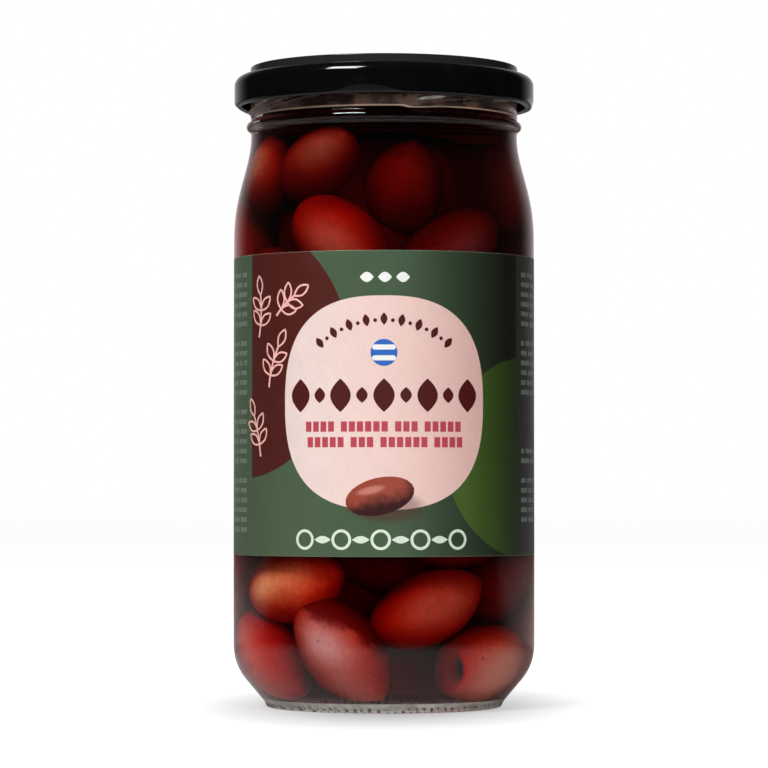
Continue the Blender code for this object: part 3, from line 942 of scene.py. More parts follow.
@dataclass
class GlassJar:
    """The glass: knurled foot, slanted heel, recessed label panel, shoulder, neck ring and threads."""

    form: JarForm
    columns: int = 384
    haze: float = 0.3
    dome_share: float = 0.2
    standing_ring: tuple[Pair, Pair] = ((21.5 * MM, 1.1 * MM), (22.7 * MM, 0.35 * MM))
    foot_round: float = 1.1 * MM
    foot_inset: float = 0.1 * MM
    body_gap: float = 0.1 * MM
    panel_inset: float = 0.25 * MM
    recess_line: float = 0.05 * MM
    recess_corner: float = 0.12 * MM
    recess_step: Pair = (0.01 * MM, 0.06 * MM)
    recess_above: float = 0.1 * MM
    ring_height: float = 129.2 * MM
    ring_proud: float = 1.0 * MM
    ring_gap: float = 1.6 * MM
    ring_out: float = 0.05 * MM
    finish_low: float = 130.6 * MM
    finish_high: float = 138.2 * MM
    finish_proud: float = 0.1 * MM
    rim_outer: Pair = (28.8 * MM, 1.0 * MM)
    rim_inner: Pair = (28.2 * MM, 0.8 * MM)
    mouth_radius: float = 27.2 * MM
    mouth_edge: float = 0.6 * MM
    film_radius: float = 28.6 * MM
    wet_reach: Pair = (0.4 * MM, 0.1 * MM)
    thread_count: int = 4
    thread_first: float = 8.0
    thread_span: float = 76.0
    thread_low: float = 131.6 * MM
    thread_rise: float = 4.7 * MM
    thread_half: float = 1.35 * MM
    thread_proud: float = 1.3 * MM
    thread_fade: float = 9.0
    knurl_count: int = 96
    knurl_depth: float = 0.34 * MM
    knurl_middle: float = 0.35 * MM
    knurl_half: float = 1.1 * MM
    knurl_top: float = 1.5 * MM
    stipple_top: float = 1.95 * MM
    stipple_inset: float = 1.5 * MM

    def relief(self, azimuth: np.ndarray, height: np.ndarray) -> np.ndarray:
        """Threads and foot knurls as a height above the turned surface.

        A thread is a cosine ridge whose middle rises evenly with the azimuth, and a knurl is a cosine wave
        round the foot that fades with the height.

        Args:
            azimuth: Grid of azimuths.
            height: Grid of heights.

        Returns:
            A grid of heights above the surface.
        """
        along = (np.degrees(azimuth) - self.thread_first) % (360.0 / self.thread_count) / self.thread_span
        ends = np.clip(self.thread_fade * np.minimum(along, 1.0 - along), 0.0, 1.0)
        on_finish = (height > self.finish_low) & (height < self.finish_high)
        ridge = bump(height - self.thread_low - along * self.thread_rise, self.thread_half)
        thread = self.thread_proud * np.sin(0.5 * np.pi * ends) * ridge
        knurl = np.cos(self.knurl_count * azimuth) * bump(height - self.knurl_middle, self.knurl_half)
        return (np.where(on_finish & (along < 1.0), thread, 0.0)
                + self.knurl_depth * knurl * (height < self.knurl_top))

    def finish_numbers(self, radius: np.ndarray, height: np.ndarray) -> np.ndarray:
        """0 for clear glass, 1 where brine wets the wall, 2 on the stippled foot and 3 on the filmed neck.

        Args:
            radius: Radii of the faces' middles.
            height: Their heights.

        Returns:
            The faces' numbers.
        """
        form = self.form
        film = (radius < self.film_radius) & (height > form.brine_level)
        outwards, down = self.wet_reach
        wall = (radius < form.inner_radius(height) + outwards) & (height > form.floor_edge[1] - down)
        wet = wall & (height < form.brine_level)
        foot = (height < self.stipple_top) & (radius > form.push_up[0] + self.stipple_inset)
        return np.where(foot, 2, np.where(wet, 1, np.where(film, 3, 0)))

    def lower_profile(self) -> list[np.ndarray]:
        """Parts of the outside below the label: underside, foot, slanted heel and body.

        Returns:
            Arrays of (r, z) rows.
        """
        form = self.form
        push_radius, push_height = form.push_up
        dome = np.linspace(0.0, push_radius, 8)
        slant = np.linspace(0.12, 1.0, 14)[:, None]
        rounded = np.linspace(form.heel_high[1], form.heel_round_top, 16)[1:]
        straight = np.linspace(form.heel_round_top + MM, form.label_low - self.body_gap, 8)
        return [np.column_stack([dome, push_height * (1.0 - self.dome_share * (dome / push_radius) ** 2)]),
                np.array([*self.standing_ring, (form.foot[0], 0.0)]),
                arc((form.foot[1] - self.foot_inset, self.foot_round), self.foot_round, -84.0, -50.0, 5),
                np.array(form.heel_low) * (1.0 - slant) + np.array(form.heel_high) * slant,
                np.column_stack([form.heel_radius(rounded), rounded]),
                column(form.body_radius, straight)]

    def label_profile(self) -> list[np.ndarray]:
        """Parts of the outside at the label: a shallow recess with small rounds at both edges.

        Returns:
            Arrays of (r, z) rows.
        """
        form = self.form
        panel = form.body_radius - form.panel_depth
        low, high = form.label_low + self.panel_inset, form.label_high - self.panel_inset
        out, away = self.recess_step
        below = [form.label_low + self.recess_line, low - self.recess_corner]
        above = [high + self.recess_corner, form.label_high - self.recess_line,
                 form.label_high + self.recess_above]
        return [column(form.body_radius, np.array(below)),
                np.array([(panel + out, low - away), (panel, low),
                          (panel, high), (panel + out, high + away)]),
                column(form.body_radius, np.array(above))]

    def upper_profile(self) -> list[np.ndarray]:
        """Parts of the outside above the label, and of the mouth down to the brine.

        Returns:
            Arrays of (r, z) rows.
        """
        form = self.form
        shoulder = np.linspace(form.shoulder_start + MM, self.ring_height - self.ring_gap, 40)
        mouth = []
        for (radius, fillet), start in ((self.rim_outer, 0.0), (self.rim_inner, 90.0)):
            mouth.append(arc((radius, form.rim_top - fillet), fillet, start, start + 90.0, 6))
        return [np.column_stack([form.shoulder_radius(shoulder), shoulder]),
                arc((form.neck_radius + self.ring_out, self.ring_height), self.ring_proud, -70.0, 70.0, 10),
                column(form.neck_radius + self.finish_proud,
                       np.linspace(self.finish_low, self.finish_high, 34)),
                *mouth,
                column(self.mouth_radius, np.array([form.brine_level + self.mouth_edge, form.brine_level]))]

    def profile(self) -> np.ndarray:
        """Rows of (r, z) from the middle of the underside up the outside and down the inside."""
        return np.vstack([*self.lower_profile(), *self.label_profile(), *self.upper_profile(),
                          self.form.inside_profile(0.0, self.form.neck_start)])

    def build(self) -> list[bpy.types.Object]:
        """Makes the glass in place of the plain jar, with a finish for each number that a face can have.

        Returns:
            The glass.
        """
        piece = turned_piece("glass_jar", self.profile(), self.columns, self.relief)
        for finish in (ClearGlass(haze=self.haze), ClearGlass("wet_glass", BLACK), StippledGlass(),
                       FilmedGlass(self.form.brine_level)):
            piece.data.materials.append(finish.material())
        paint_where(piece, self.finish_numbers)
        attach(piece, BODY)
        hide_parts("jar")
        return [piece]


@dataclass
class BrineFill:
    """The brine, which reaches just into the glass and rises a little where it meets the wall."""

    form: JarForm
    columns: int = 160
    overlap: float = 0.06 * MM
    meniscus: float = 0.9 * MM
    meniscus_fade: float = 0.8 * MM
    ring_insets: tuple[float, ...] = (0.0, 0.35, 0.8, 1.4, 2.4, 4.0, 10.0, 20.0)

    def profile(self) -> np.ndarray:
        """Rows of (r, z): the floor's middle, up the wall, then in over the surface with its raised edge.

        Returns:
            An array of (r, z) rows.
        """
        inside = self.form.inside_profile(self.overlap, self.form.brine_level)[::-1]
        inwards = np.array(self.ring_insets) * MM
        height = self.form.brine_level + self.meniscus * np.exp(-inwards / self.meniscus_fade)
        top = np.column_stack([inside[-1, 0] - inwards, height])
        return np.vstack([inside, top, [(0.0, self.form.brine_level)]])

    def build(self) -> list[bpy.types.Object]:
        """Makes the brine round the olives.

        Returns:
            The brine.
        """
        piece = turned_piece("brine", self.profile(), self.columns)
        piece.data.materials.append(Brine().material())
        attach(piece, BODY)
        return [piece]


class Ripeness(Enum):
    """Skin tones of the olives: (main tone, blush) as linear colours."""

    AMBER = ((0.72, 0.41, 0.205), (0.60, 0.19, 0.085))
    FLAME = ((0.42, 0.043, 0.019), (0.28, 0.030, 0.018))
    RUSSET = ((0.225, 0.035, 0.019), (0.17, 0.026, 0.015))
    UMBER = ((0.28, 0.062, 0.032), (0.22, 0.044, 0.024))
    BRICK = ((0.34, 0.034, 0.017), (0.27, 0.026, 0.014))
    MAUVE = ((0.43, 0.165, 0.160), (0.13, 0.020, 0.026))
    ROSE = ((0.68, 0.170, 0.135), (0.54, 0.095, 0.076))
    WINE = ((0.16, 0.024, 0.026), (0.10, 0.016, 0.020))
    CUT_ROSE = ((0.44, 0.120, 0.075), (0.58, 0.075, 0.110))
    DEEP = ((0.19, 0.024, 0.018), (0.12, 0.016, 0.012))


@dataclass(frozen=True)
class SeenOlive:
    """One olive that shows through the glass: place in degrees and millimetres, size, turn and tone."""

    azimuth: float
    height: float
    depth: float
    half_length: float
    half_width: float
    tilt: float
    lean: float
    ripeness: Ripeness
    lumps: float = 1.0
    # Whether its blush is painted shade on its upper right side only
    painted_top_shade: bool = False


@dataclass(frozen=True)
class Olive:
    """One olive before it settles, in metres.

    One with painted top shade has its blush, as painted shade, on its upper right side only.
    """

    centre: np.ndarray
    axis: np.ndarray
    half_length: float
    half_width: float
    mobility: float
    ripeness: Ripeness
    lumps: float = 1.0
    painted_top_shade: bool = False

    @property
    def cut(self) -> bool:
        """Whether one end is cut off."""
        return self.ripeness is Ripeness.CUT_ROSE


SEEN_OLIVES = (
    SeenOlive(-68, 117, 2.0, 9.0, 6.3, 78, 10, Ripeness.UMBER),
    SeenOlive(-42, 119, 0.6, 11.5, 7.6, 36, 22, Ripeness.RUSSET),
    SeenOlive(12, 113.5, 3.4, 10.4, 7.8, 82, 12, Ripeness.WINE),
    SeenOlive(-22, 100.9, 0.0, 12.8, 8.4, -48, 5, Ripeness.FLAME),
    SeenOlive(36, 99.8, 0.8, 12.6, 8.2, 38, 0, Ripeness.WINE),
    SeenOlive(-58, 90.5, 0.5, 12.0, 8.0, -60, 0, Ripeness.RUSSET),
    SeenOlive(92, 115, 1.0, 11.5, 8.0, 60, 0, Ripeness.WINE),
    SeenOlive(-46.5, 27.3, 0.0, 12.2, 8.2, 12, 0, Ripeness.AMBER, 3.4),
    SeenOlive(-20.8, 12.9, 0.0, 12.8, 7.9, -60, 0, Ripeness.MAUVE, 1.0, True),
    SeenOlive(20.4, 24.3, 0.0, 12.4, 7.8, 28, 5, Ripeness.BRICK),
    SeenOlive(56.5, 11.4, 0.0, 12.0, 7.8, 8, 4, Ripeness.CUT_ROSE),
    SeenOlive(-69, 11, 0.0, 11.4, 7.8, -45, 0, Ripeness.ROSE),
    SeenOlive(71, 30, 1.0, 11.8, 7.8, 55, 0, Ripeness.WINE),
    SeenOlive(-116, 28, 0.0, 12.4, 8.0, 35, 0, Ripeness.ROSE),
    SeenOlive(1, 33, 5.0, 11.6, 8.0, -15, 0, Ripeness.WINE),
    SeenOlive(38, 38, 0.6, 12.0, 7.8, 12, 0, Ripeness.WINE),
)


@dataclass
class OliveHeap:
    """The olives, which start in rows behind the glass, settle against each other and hide a core."""

    form: JarForm
    row_low: float = 11.5 * MM
    row_pitch: float = 15.6 * MM
    row_count: int = 8
    in_row: int = 7
    # Share of a place sideways and millimetres upwards
    row_wander: Pair = (0.12, 1.5)
    tilt_range: float = 75
    lean_range: float = 20
    half_length: float = 12.2 * MM
    half_width: float = 8.0 * MM
    unevenness: float = 0.06
    start_gap: float = 0.3 * MM
    start_clearance: float = 13.6 * MM
    settle_rounds: int = 220
    ball_sizes: tuple[float, float, float] = (0.66, 0.95, 0.66)
    ball_places: tuple[float, float, float] = (-0.52, 0.0, 0.52)
    ball_samples: tuple[Pair, Pair, Pair] = ((-0.7, 0.72), (0.0, 1.0), (0.7, 0.72))
    pinned_mobility: float = 0.004
    wall_pull: float = 0.08 * MM
    glass_gap: float = 1.25 * MM
    last_push: float = 0.9 * MM
    push_start: float = 17.0 * MM
    push_blur: float = 2.0 * MM
    settle_shares: Pair = (0.5, 0.25)
    heap_top: float = 127.0 * MM
    heap_room: float = 10.0 * MM
    seed: int = 7
    tip: float = 0.82
    tip_drawn: Pair = (0.45 * MM, 0.16)
    bend: float = 0.35 * MM
    waves: tuple[float, float, float] = (0.018, 0.012, 0.010)
    shade_shares: tuple[float, float, float] = (0.5, 0.45, 0.25)
    rings: int = 32
    sides: int = 36
    pole_angle: float = 0.02
    scar: Pair = (0.88 * MM, 0.55 * MM)
    cut_place: float = 0.80
    cut_hole: Pair = (1.7 * MM, 2.8 * MM)
    cut_hole_shift: float = 1.0 * MM
    # Painted shade inside the cut olive's hole
    cut_hole_shade: float = 0.94
    cut_shades: Pair = (1.2, 0.1)
    # Painted shade: direction, edge and blend of one olive's dark upper right side
    top_shade_towards: tuple[float, float, float] = (0.45, -0.1, 0.88)
    top_shade_edge: float = 0.42
    top_shade_blend: float = 1.3
    core_radius: float = 19.5 * MM
    core_low: float = 5.5 * MM
    core_top: float = 126.0 * MM
    core_dome: float = 12.0 * MM
    core_columns: int = 60
    swell: float = 2.2 * MM
    swells_round: float = 6.0

    def axis(self, azimuth: float, tilt: float, lean: float) -> np.ndarray:
        """Finds an olive's unit long axis: level and rightward, turned up, then out towards the glass.

        Args:
            azimuth: Azimuth of the olive.
            tilt: Angle above level.
            lean: Angle towards the glass.

        Returns:
            The axis.
        """
        rightward = np.array([math.cos(azimuth), math.sin(azimuth), 0.0])
        level = math.cos(tilt) * rightward + math.sin(tilt) * np.array([0.0, 0.0, 1.0])
        return math.cos(lean) * level + math.sin(lean) * outward(azimuth)

    def wall_place(self, azimuth: float, height: float, half_width: float, depth: float) -> np.ndarray:
        """Finds the centre of an olive that lies behind the glass.

        Args:
            azimuth: Azimuth of the olive.
            height: Height of its centre.
            half_width: Half its width.
            depth: How far behind the glass it lies.

        Returns:
            The centre.
        """
        radius = float(self.form.inner_radius(np.array(height))) - half_width - self.start_gap - depth
        return np.array([radius * math.sin(azimuth), -radius * math.cos(azimuth), height])

    def seen_olives(self) -> list[Olive]:
        """The olives that are placed one by one, which barely move when the heap settles.

        Returns:
            The olives.
        """
        olives = []
        for seen in SEEN_OLIVES:
            turn, tilt, lean = (math.radians(angle) for angle in (seen.azimuth, seen.tilt, seen.lean))
            centre = self.wall_place(turn, seen.height * MM, seen.half_width * MM, seen.depth * MM)
            olives.append(Olive(centre, self.axis(turn, tilt, lean), seen.half_length * MM,
                                seen.half_width * MM, self.pinned_mobility, seen.ripeness, seen.lumps,
                                seen.painted_top_shade))
        return olives

    def start(self) -> list[Olive]:
        """Every olive before it settles: the seen ones, then seeded rows of others where there is room.

        Returns:
            The olives.
        """
        olives = self.seen_olives()
        pinned = [olive.centre for olive in olives]
        draw = random.Random(self.seed)
        tones = random.Random(self.seed + 1)
        loose_tones = [tone for tone in Ripeness if tone not in (Ripeness.CUT_ROSE, Ripeness.DEEP)]
        sideways, upwards = self.row_wander
        for row in range(self.row_count):
            for place in range(self.in_row):
                slot = place + 0.5 * (row % 2) + draw.uniform(-sideways, sideways)
                azimuth = 2.0 * math.pi * slot / self.in_row
                height = self.row_low + row * self.row_pitch + draw.uniform(-upwards, upwards) * MM
                size = 1.0 + draw.uniform(-self.unevenness, self.unevenness)
                tilt = math.radians(draw.uniform(-self.tilt_range, self.tilt_range))
                lean = math.radians(draw.uniform(-self.lean_range, self.lean_range))
                centre = self.wall_place(azimuth, height, self.half_width * size, 0.0)
                if min(np.linalg.norm(centre - other) for other in pinned) < self.start_clearance:
                    continue
                olives.append(Olive(centre, self.axis(azimuth, tilt, lean), self.half_length * size,
                                    self.half_width * size, 1.0, tones.choice(loose_tones)))
        return olives

    def settle(self, olives: list[Olive]) -> tuple[np.ndarray, np.ndarray]:
        """Pushes the olives apart inside the glass.

        Each olive is stood for by three balls along its axis. In every round each pair of balls that cross
        moves apart, each ball that crosses the glass moves back, and the balls carry their olive with them.

        Args:
            olives: The olives as they start.

        Returns:
            The olives' centres and long axes.
        """
        centres = np.array([olive.centre for olive in olives])
        axes = np.array([olive.axis for olive in olives])
        lengths = np.array([olive.half_length for olive in olives])
        widths = np.array([olive.half_width for olive in olives])
        mobility = np.repeat([olive.mobility for olive in olives], 3)
        owner = np.repeat(np.arange(len(olives)), 3)
        radii = (widths[:, None] * np.array(self.ball_sizes)).ravel()
        steps = np.array(self.ball_places)
        heights = np.linspace(0.0, self.heap_top + self.heap_room, 200)
        inside = self.form.inner_radius(heights)
        share = mobility[:, None] / np.maximum(mobility[:, None] + mobility[None, :], 1.0)
        apart = owner[:, None] != owner[None, :]
        floor_radii = [0.0, self.form.floor_edge[0]]
        floor_heights = [self.form.floor_middle, self.form.floor_edge[1]]
        pull = np.where(mobility == 1.0, self.wall_pull, 0.0)
        whole, part = self.settle_shares
        for _ in range(self.settle_rounds):
            balls = (centres[:, None] + axes[:, None] * (lengths[:, None] * steps)[..., None]).reshape(-1, 3)
            offset = balls[:, None] - balls[None]
            distance = np.linalg.norm(offset, axis=2) + TINY
            overlap = np.where(apart, np.clip(radii[:, None] + radii[None] - distance, 0.0, None), 0.0)
            push = (offset / distance[..., None] * (overlap * share)[..., None]).sum(axis=1)
            out = np.hypot(balls[:, 0], balls[:, 1]) + TINY
            room = np.min([np.interp(balls[:, 2] + step * radii, heights, inside) - reach * radii
                           for step, reach in self.ball_samples], axis=0) - self.glass_gap
            push[:, :2] += balls[:, :2] / out[:, None] * (np.minimum(out + pull, room) - out)[:, None]
            floor = np.interp(out, floor_radii, floor_heights)
            push[:, 2] += np.clip(floor + radii + self.glass_gap - balls[:, 2], 0.0, None)
            push[:, 2] -= np.clip(balls[:, 2] + radii - self.heap_top, 0.0, None)
            push = push.reshape(-1, 3, 3)
            centres = centres + whole * push.mean(axis=1) + part * push[:, 1]
            axes = axes + part * (push[:, 2] - push[:, 0]) / lengths[:, None]
            axes = axes / np.linalg.norm(axes, axis=1)[:, None]
        return centres, axes

    def surfaces(self, olives: list[Olive], centres: np.ndarray,
                 axes: np.ndarray) -> tuple[np.ndarray, np.ndarray, np.ndarray]:
        """Every olive's surface at once, on a grid of rings along the axis and sides round it.

        A point is centre + along axis + width (cos side, sin side), with along = -L cos(ring angle) and
        width = W sin(ring angle), less a square towards the tip. Slow waves make each olive uneven, a bell
        curve sinks the stem end, and another draws out the tip. A cut olive ends in a flat face with a hole.

        Args:
            olives: The olives as they start.
            centres: Centres of the olives.
            axes: Long axes of the olives.

        Returns:
            Points of shape (olives, rings, sides, 3), the shade of each, and how far each is in the hole,
            which painted shade darkens.
        """
        draw = np.random.default_rng(self.seed)
        lengths, widths, lumps, painted_top_shade, cut = (
            np.array([getattr(olive, title) for olive in olives])[:, None, None]
            for title in ("half_length", "half_width", "lumps", "painted_top_shade", "cut"))
        angle = np.linspace(self.pole_angle, np.pi - self.pole_angle, self.rings)[None, :, None]
        side = np.linspace(0.0, 2.0 * np.pi, self.sides, endpoint=False)[None, None, :]
        phase = draw.uniform(0.0, 2.0 * np.pi, (4, len(olives), 1, 1))
        along = -np.cos(angle) + 0.0 * side
        taper = 1.0 - (1.0 - self.tip) * np.clip(along, 0.0, 1.0) ** 2
        uneven = (self.waves[0] * np.sin(2.0 * side + phase[0])
                  + self.waves[1] * np.sin(3.0 * side + 2.0 * along + phase[1])
                  + self.waves[2] * np.sin(5.0 * along + side + phase[2]))
        width = widths * np.sin(angle) * taper * (1.0 + lumps * uneven)
        face = np.where(cut, self.cut_place, 1.0)
        wide, depth = (np.where(cut, *values) for values in zip(self.cut_hole, self.scar))
        shift = np.where(cut, self.cut_hole_shift, 0.0)
        away = np.hypot(width * np.cos(side) - shift, width * np.sin(side))
        hole = np.exp(-(away / wide) ** 4) * (along < 0.0)
        drawn = self.tip_drawn[0] * np.exp(-((np.pi - angle) / self.tip_drawn[1]) ** 2)
        reach = lengths * np.clip(along, -face, None) + depth * hole + drawn
        bend = self.bend * (1.0 - along ** 2)
        first = np.cross(axes, (0.0, 0.0, 1.0))
        first = first / np.linalg.norm(first, axis=1)[:, None]
        second = np.cross(axes, first)
        base, axis, first, second = (vectors[:, None, None, :] for vectors in (centres, axes, first, second))
        points = base + reach[..., None] * axis
        points = points + (width * np.cos(side) + bend * np.cos(phase[3]))[..., None] * first
        points = points + (width * np.sin(side) + bend * np.sin(phase[3]))[..., None] * second
        even, around, lengthways = self.shade_shares
        shade = even + around * np.sin(side + phase[0]) * np.sin(angle) + lengthways * along
        # Painted shade: one olive's blush lies on its upper right side only
        up = ((points - base) @ np.array(self.top_shade_towards)) / widths
        shade = np.where(painted_top_shade, even + self.top_shade_blend * (up - self.top_shade_edge), shade)
        shade = np.where(cut, np.where(along < -face, *self.cut_shades), shade)
        return points, np.clip(shade, 0.0, 1.5), np.where(cut, hole, 0.0)

    def build_olives(self) -> bpy.types.Object:
        """Makes all the olives as one mesh: a grid for each, closed at both ends by a flat face.

        Returns:
            The new object, with the tone, blush and shade of every point.
        """
        olives = self.start()
        centres, axes = self.settle(olives)
        out = np.hypot(centres[:, 0], centres[:, 1])
        near = np.clip((out - self.push_start) / self.push_blur, 0.0, 1.0)
        centres[:, :2] *= (1.0 + near * self.last_push / out)[:, None]
        points, shade, hole_shade_share = self.surfaces(olives, centres, axes)
        size = self.rings * self.sides
        ring = np.arange(self.sides)
        offsets = np.arange(len(olives))[:, None, None] * size
        faces = (grid_faces(self.rings, self.sides, True)[None] + offsets).reshape(-1, 4).tolist()
        faces += (ring[::-1][None] + offsets[:, 0]).tolist()
        faces += ((size - self.sides + ring)[None] + offsets[:, 0]).tolist()
        tones, blushes = (np.repeat([olive.ripeness.value[part] for olive in olives], size, axis=0)
                          for part in (0, 1))
        # Painted shade darkens the blush in the cut olive's hole
        blushes = blushes * (1.0 - self.cut_hole_shade * hole_shade_share.reshape(-1, 1))
        shades = np.repeat(shade.reshape(-1, 1), 3, axis=1)
        piece = mesh_piece("whole_olives", points, faces)
        colour_points(piece.data, {"tone": tones, "blush": blushes, "shade": shades})
        return piece

    def core_relief(self, azimuth: np.ndarray, height: np.ndarray) -> np.ndarray:
        """Cosine swells, six round in each row and shifted by half a swell from row to row.

        Args:
            azimuth: Grid of azimuths.
            height: Grid of heights.

        Returns:
            A grid of heights above the surface.
        """
        row = height / self.row_pitch
        around = np.cos(self.swells_round * azimuth + np.pi * np.floor(row))
        return self.swell * around * np.sin(np.pi * (row % 1.0))

    def build_core(self) -> bpy.types.Object:
        """Makes the hidden core, a column with a round top and olive-sized swells in staggered rows.

        Returns:
            The core.
        """
        heights = np.linspace(self.core_low, self.core_top, 60)
        rise = ((heights - self.core_top + self.core_dome) / self.core_dome).clip(0.0)
        dome = np.sqrt(np.clip(1.0 - rise ** 2, 0.0, 1.0))
        profile = np.column_stack([self.core_radius * dome, heights])
        profile = np.vstack([[(0.0, self.core_low)], profile[:-1], [(0.0, self.core_top)]])
        core = turned_piece("olive_core", profile, self.core_columns, self.core_relief)
        tones = np.repeat([Ripeness.DEEP.value[0]], len(core.data.vertices), axis=0)
        colour_points(core.data, dict.fromkeys(("tone", "blush", "shade"), tones))
        return core

    def build(self) -> list[bpy.types.Object]:
        """Makes the olives in place of the plain heap, and their core.

        Returns:
            Both pieces.
        """
        olives = self.build_olives()
        core = self.build_core()
        skin = OliveSkin().material()
        for piece in (olives, core):
            piece.data.materials.append(skin)
            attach(piece, BODY)
        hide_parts("olives")
        return [olives, core]


@dataclass
class TwistLid:
    """The lid: raised panel, channel, round shoulder, skirt, rolled edge and four lugs."""

    top: float
    bottom: float
    columns: int = 288
    sheet: float = 0.6 * MM
    panel_radius: float = 29.85 * MM
    panel_foot: float = 29.9 * MM
    panel_round: float = 0.22 * MM
    channel_top: float = 140.6 * MM
    skirt_radius: float = 33.45 * MM
    shoulder: float = 2.3 * MM
    curl_radius: float = 0.78 * MM
    curl_rise: float = 1.9 * MM
    skirt_gaps: Pair = (0.6 * MM, 0.15 * MM)
    lug_count: int = 4
    lug_first: float = 83.0
    lug_span: float = 16.0
    lug_depth: float = 0.7 * MM
    lug_rise: float = 2.2 * MM

    def relief(self, azimuth: np.ndarray, height: np.ndarray) -> np.ndarray:
        """Lugs pressed into the rolled edge: slanted facets whose upper end is a parabola of the azimuth.

        Args:
            azimuth: Grid of azimuths.
            height: Grid of heights.

        Returns:
            A grid of heights above the surface.
        """
        spacing = 360.0 / self.lug_count
        turn = (np.degrees(azimuth) - self.lug_first + 0.5 * spacing) % spacing - 0.5 * spacing
        rise = self.lug_rise * np.clip(1.0 - (turn / self.lug_span) ** 2, 0.0, 1.0)
        return -self.lug_depth * np.clip((self.bottom + rise - height) / self.lug_rise, 0.0, 1.0)

    def profile(self) -> np.ndarray:
        """Rows of (r, z) from the middle of the top down the outside and back up the inside.

        Returns:
            An array of (r, z) rows.
        """
        fillet, inner = self.panel_round, self.skirt_radius - self.sheet
        centre = (self.skirt_radius - self.shoulder, self.channel_top - self.shoulder)
        curl = (self.skirt_radius - self.curl_radius, self.bottom + self.curl_radius)
        radii = np.linspace(0.0, self.panel_radius - 1.5 * fillet, 12)
        step = np.linspace(self.top - 1.3 * fillet, self.channel_top + 1.4 * fillet, 6)
        return np.vstack([
            np.column_stack([radii, np.full(12, self.top)]),
            arc((self.panel_radius - fillet, self.top - fillet), fillet, 88.0, 10.0, 5),
            np.column_stack([np.linspace(self.panel_radius, self.panel_foot, 6), step]),
            arc((self.panel_foot + fillet, self.channel_top + fillet), fillet, 182.0, 265.0, 5),
            arc(centre, self.shoulder, 88.0, 2.0, 18),
            column(self.skirt_radius,
                   np.linspace(centre[1] - self.skirt_gaps[0], curl[1] + self.skirt_gaps[1], 18)),
            arc(curl, self.curl_radius, 0.0, -230.0, 22),
            column(inner, np.array([curl[1] + self.curl_rise, centre[1]])),
            arc(centre, self.shoulder - self.sheet, 5.0, 85.0, 10),
            [(self.panel_foot + fillet, self.channel_top - self.sheet),
             (self.panel_radius - self.sheet, self.top - self.sheet), (0.0, self.top - self.sheet)]])

    def build(self) -> list[bpy.types.Object]:
        """Makes the lid in place of the plain one.

        Returns:
            The lid.
        """
        piece = turned_piece("twist_lid", self.profile(), self.columns, self.relief)
        piece.data.materials.append(BlackLacquer().material())
        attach(piece, BODY)
        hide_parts("lid")
        return [piece]


class Spot(NamedTuple):
    """A place on the paper in millimetres: the distance round it from the front, and the height."""

    across: float
    height: float

    def beside(self, right: np.ndarray, up: np.ndarray, turn: float = 0.0) -> tuple[np.ndarray, np.ndarray]:
        """Places at an offset from here that is turned by an angle in degrees."""
        cosine, sine = math.cos(math.radians(turn)), math.sin(math.radians(turn))
        return self.across + right * cosine - up * sine, self.height + right * sine + up * cosine


@dataclass(frozen=True)
class PrintLayout:
    """Where the front's print lies, in millimetres and degrees.

    A sprig is (across, height, length, turn, bend), a title leaf is (height, length, width) and a row of
    words is (left end, height, blocks in each word).
    """

    sprigs: tuple[tuple[float, ...], ...] = ((-31.2, 55.5, 9.0, 96.0, 1.5), (-28.2, 70.5, 9.0, 84.0, -2.0),
                                             (-31.8, 81.5, 9.0, 74.0, 2.0), (-25.8, 86.0, 6.5, 48.0, -1.0))
    arch_middle: float = 62.4
    arch_radii: Pair = (22.3, 21.2)
    arch_step: float = 4.9
    arch_dot: float = 0.42
    arch_leaf: Pair = (2.7, 1.5)
    title_step: float = 4.75
    title_leaves: tuple[tuple[float, ...], ...] = ((64.95, 7.2, 4.6), (66.9, 3.4, 2.5))
    word_rows: tuple[tuple, ...] = ((-17.6, 61.85, (4, 6, 3, 5)), (-17.2, 58.5, (5, 3, 6, 4)))
    word_block: Pair = (1.35, 2.2)
    word_gap: float = 0.42
    badge: Spot = Spot(0.0, 77.7)
    badge_radius: float = 2.9
    badge_bars: Pair = (-1.16, 1.16)
    badge_bar: Pair = (5.2, 1.1)
    fruit: Pair = (7.6, 4.0)
    chain: Spot = Spot(-0.7, 37.6)
    chain_step: float = 4.3
    chain_ring: Pair = (1.9, 0.62)
    chain_leaf: Pair = (3.8, 1.6)
    crown: Spot = Spot(-1.3, 93.9)
    crown_step: float = 3.9
    crown_leaf: Pair = (3.0, 2.2)


@dataclass(frozen=True)
class SideLayout:
    """Where the side panels' rows of small blocks lie, in millimetres. Each seventh row stays empty."""

    left_end: float = -36.6
    right_start: float = 37.4
    left_rows: tuple[range, ...] = (range(27),)
    right_rows: tuple[range, ...] = (range(13), range(18, 26))
    rows_in_group: int = 7
    top: float = 95.5
    pitch: float = 2.15
    block: Pair = (0.62, 1.05)
    gap: float = 0.3
    letter_width: float = 0.92
    word_space: float = 0.8
    letters: tuple[int, int] = (2, 6)
    words: tuple[int, int] = (3, 4)


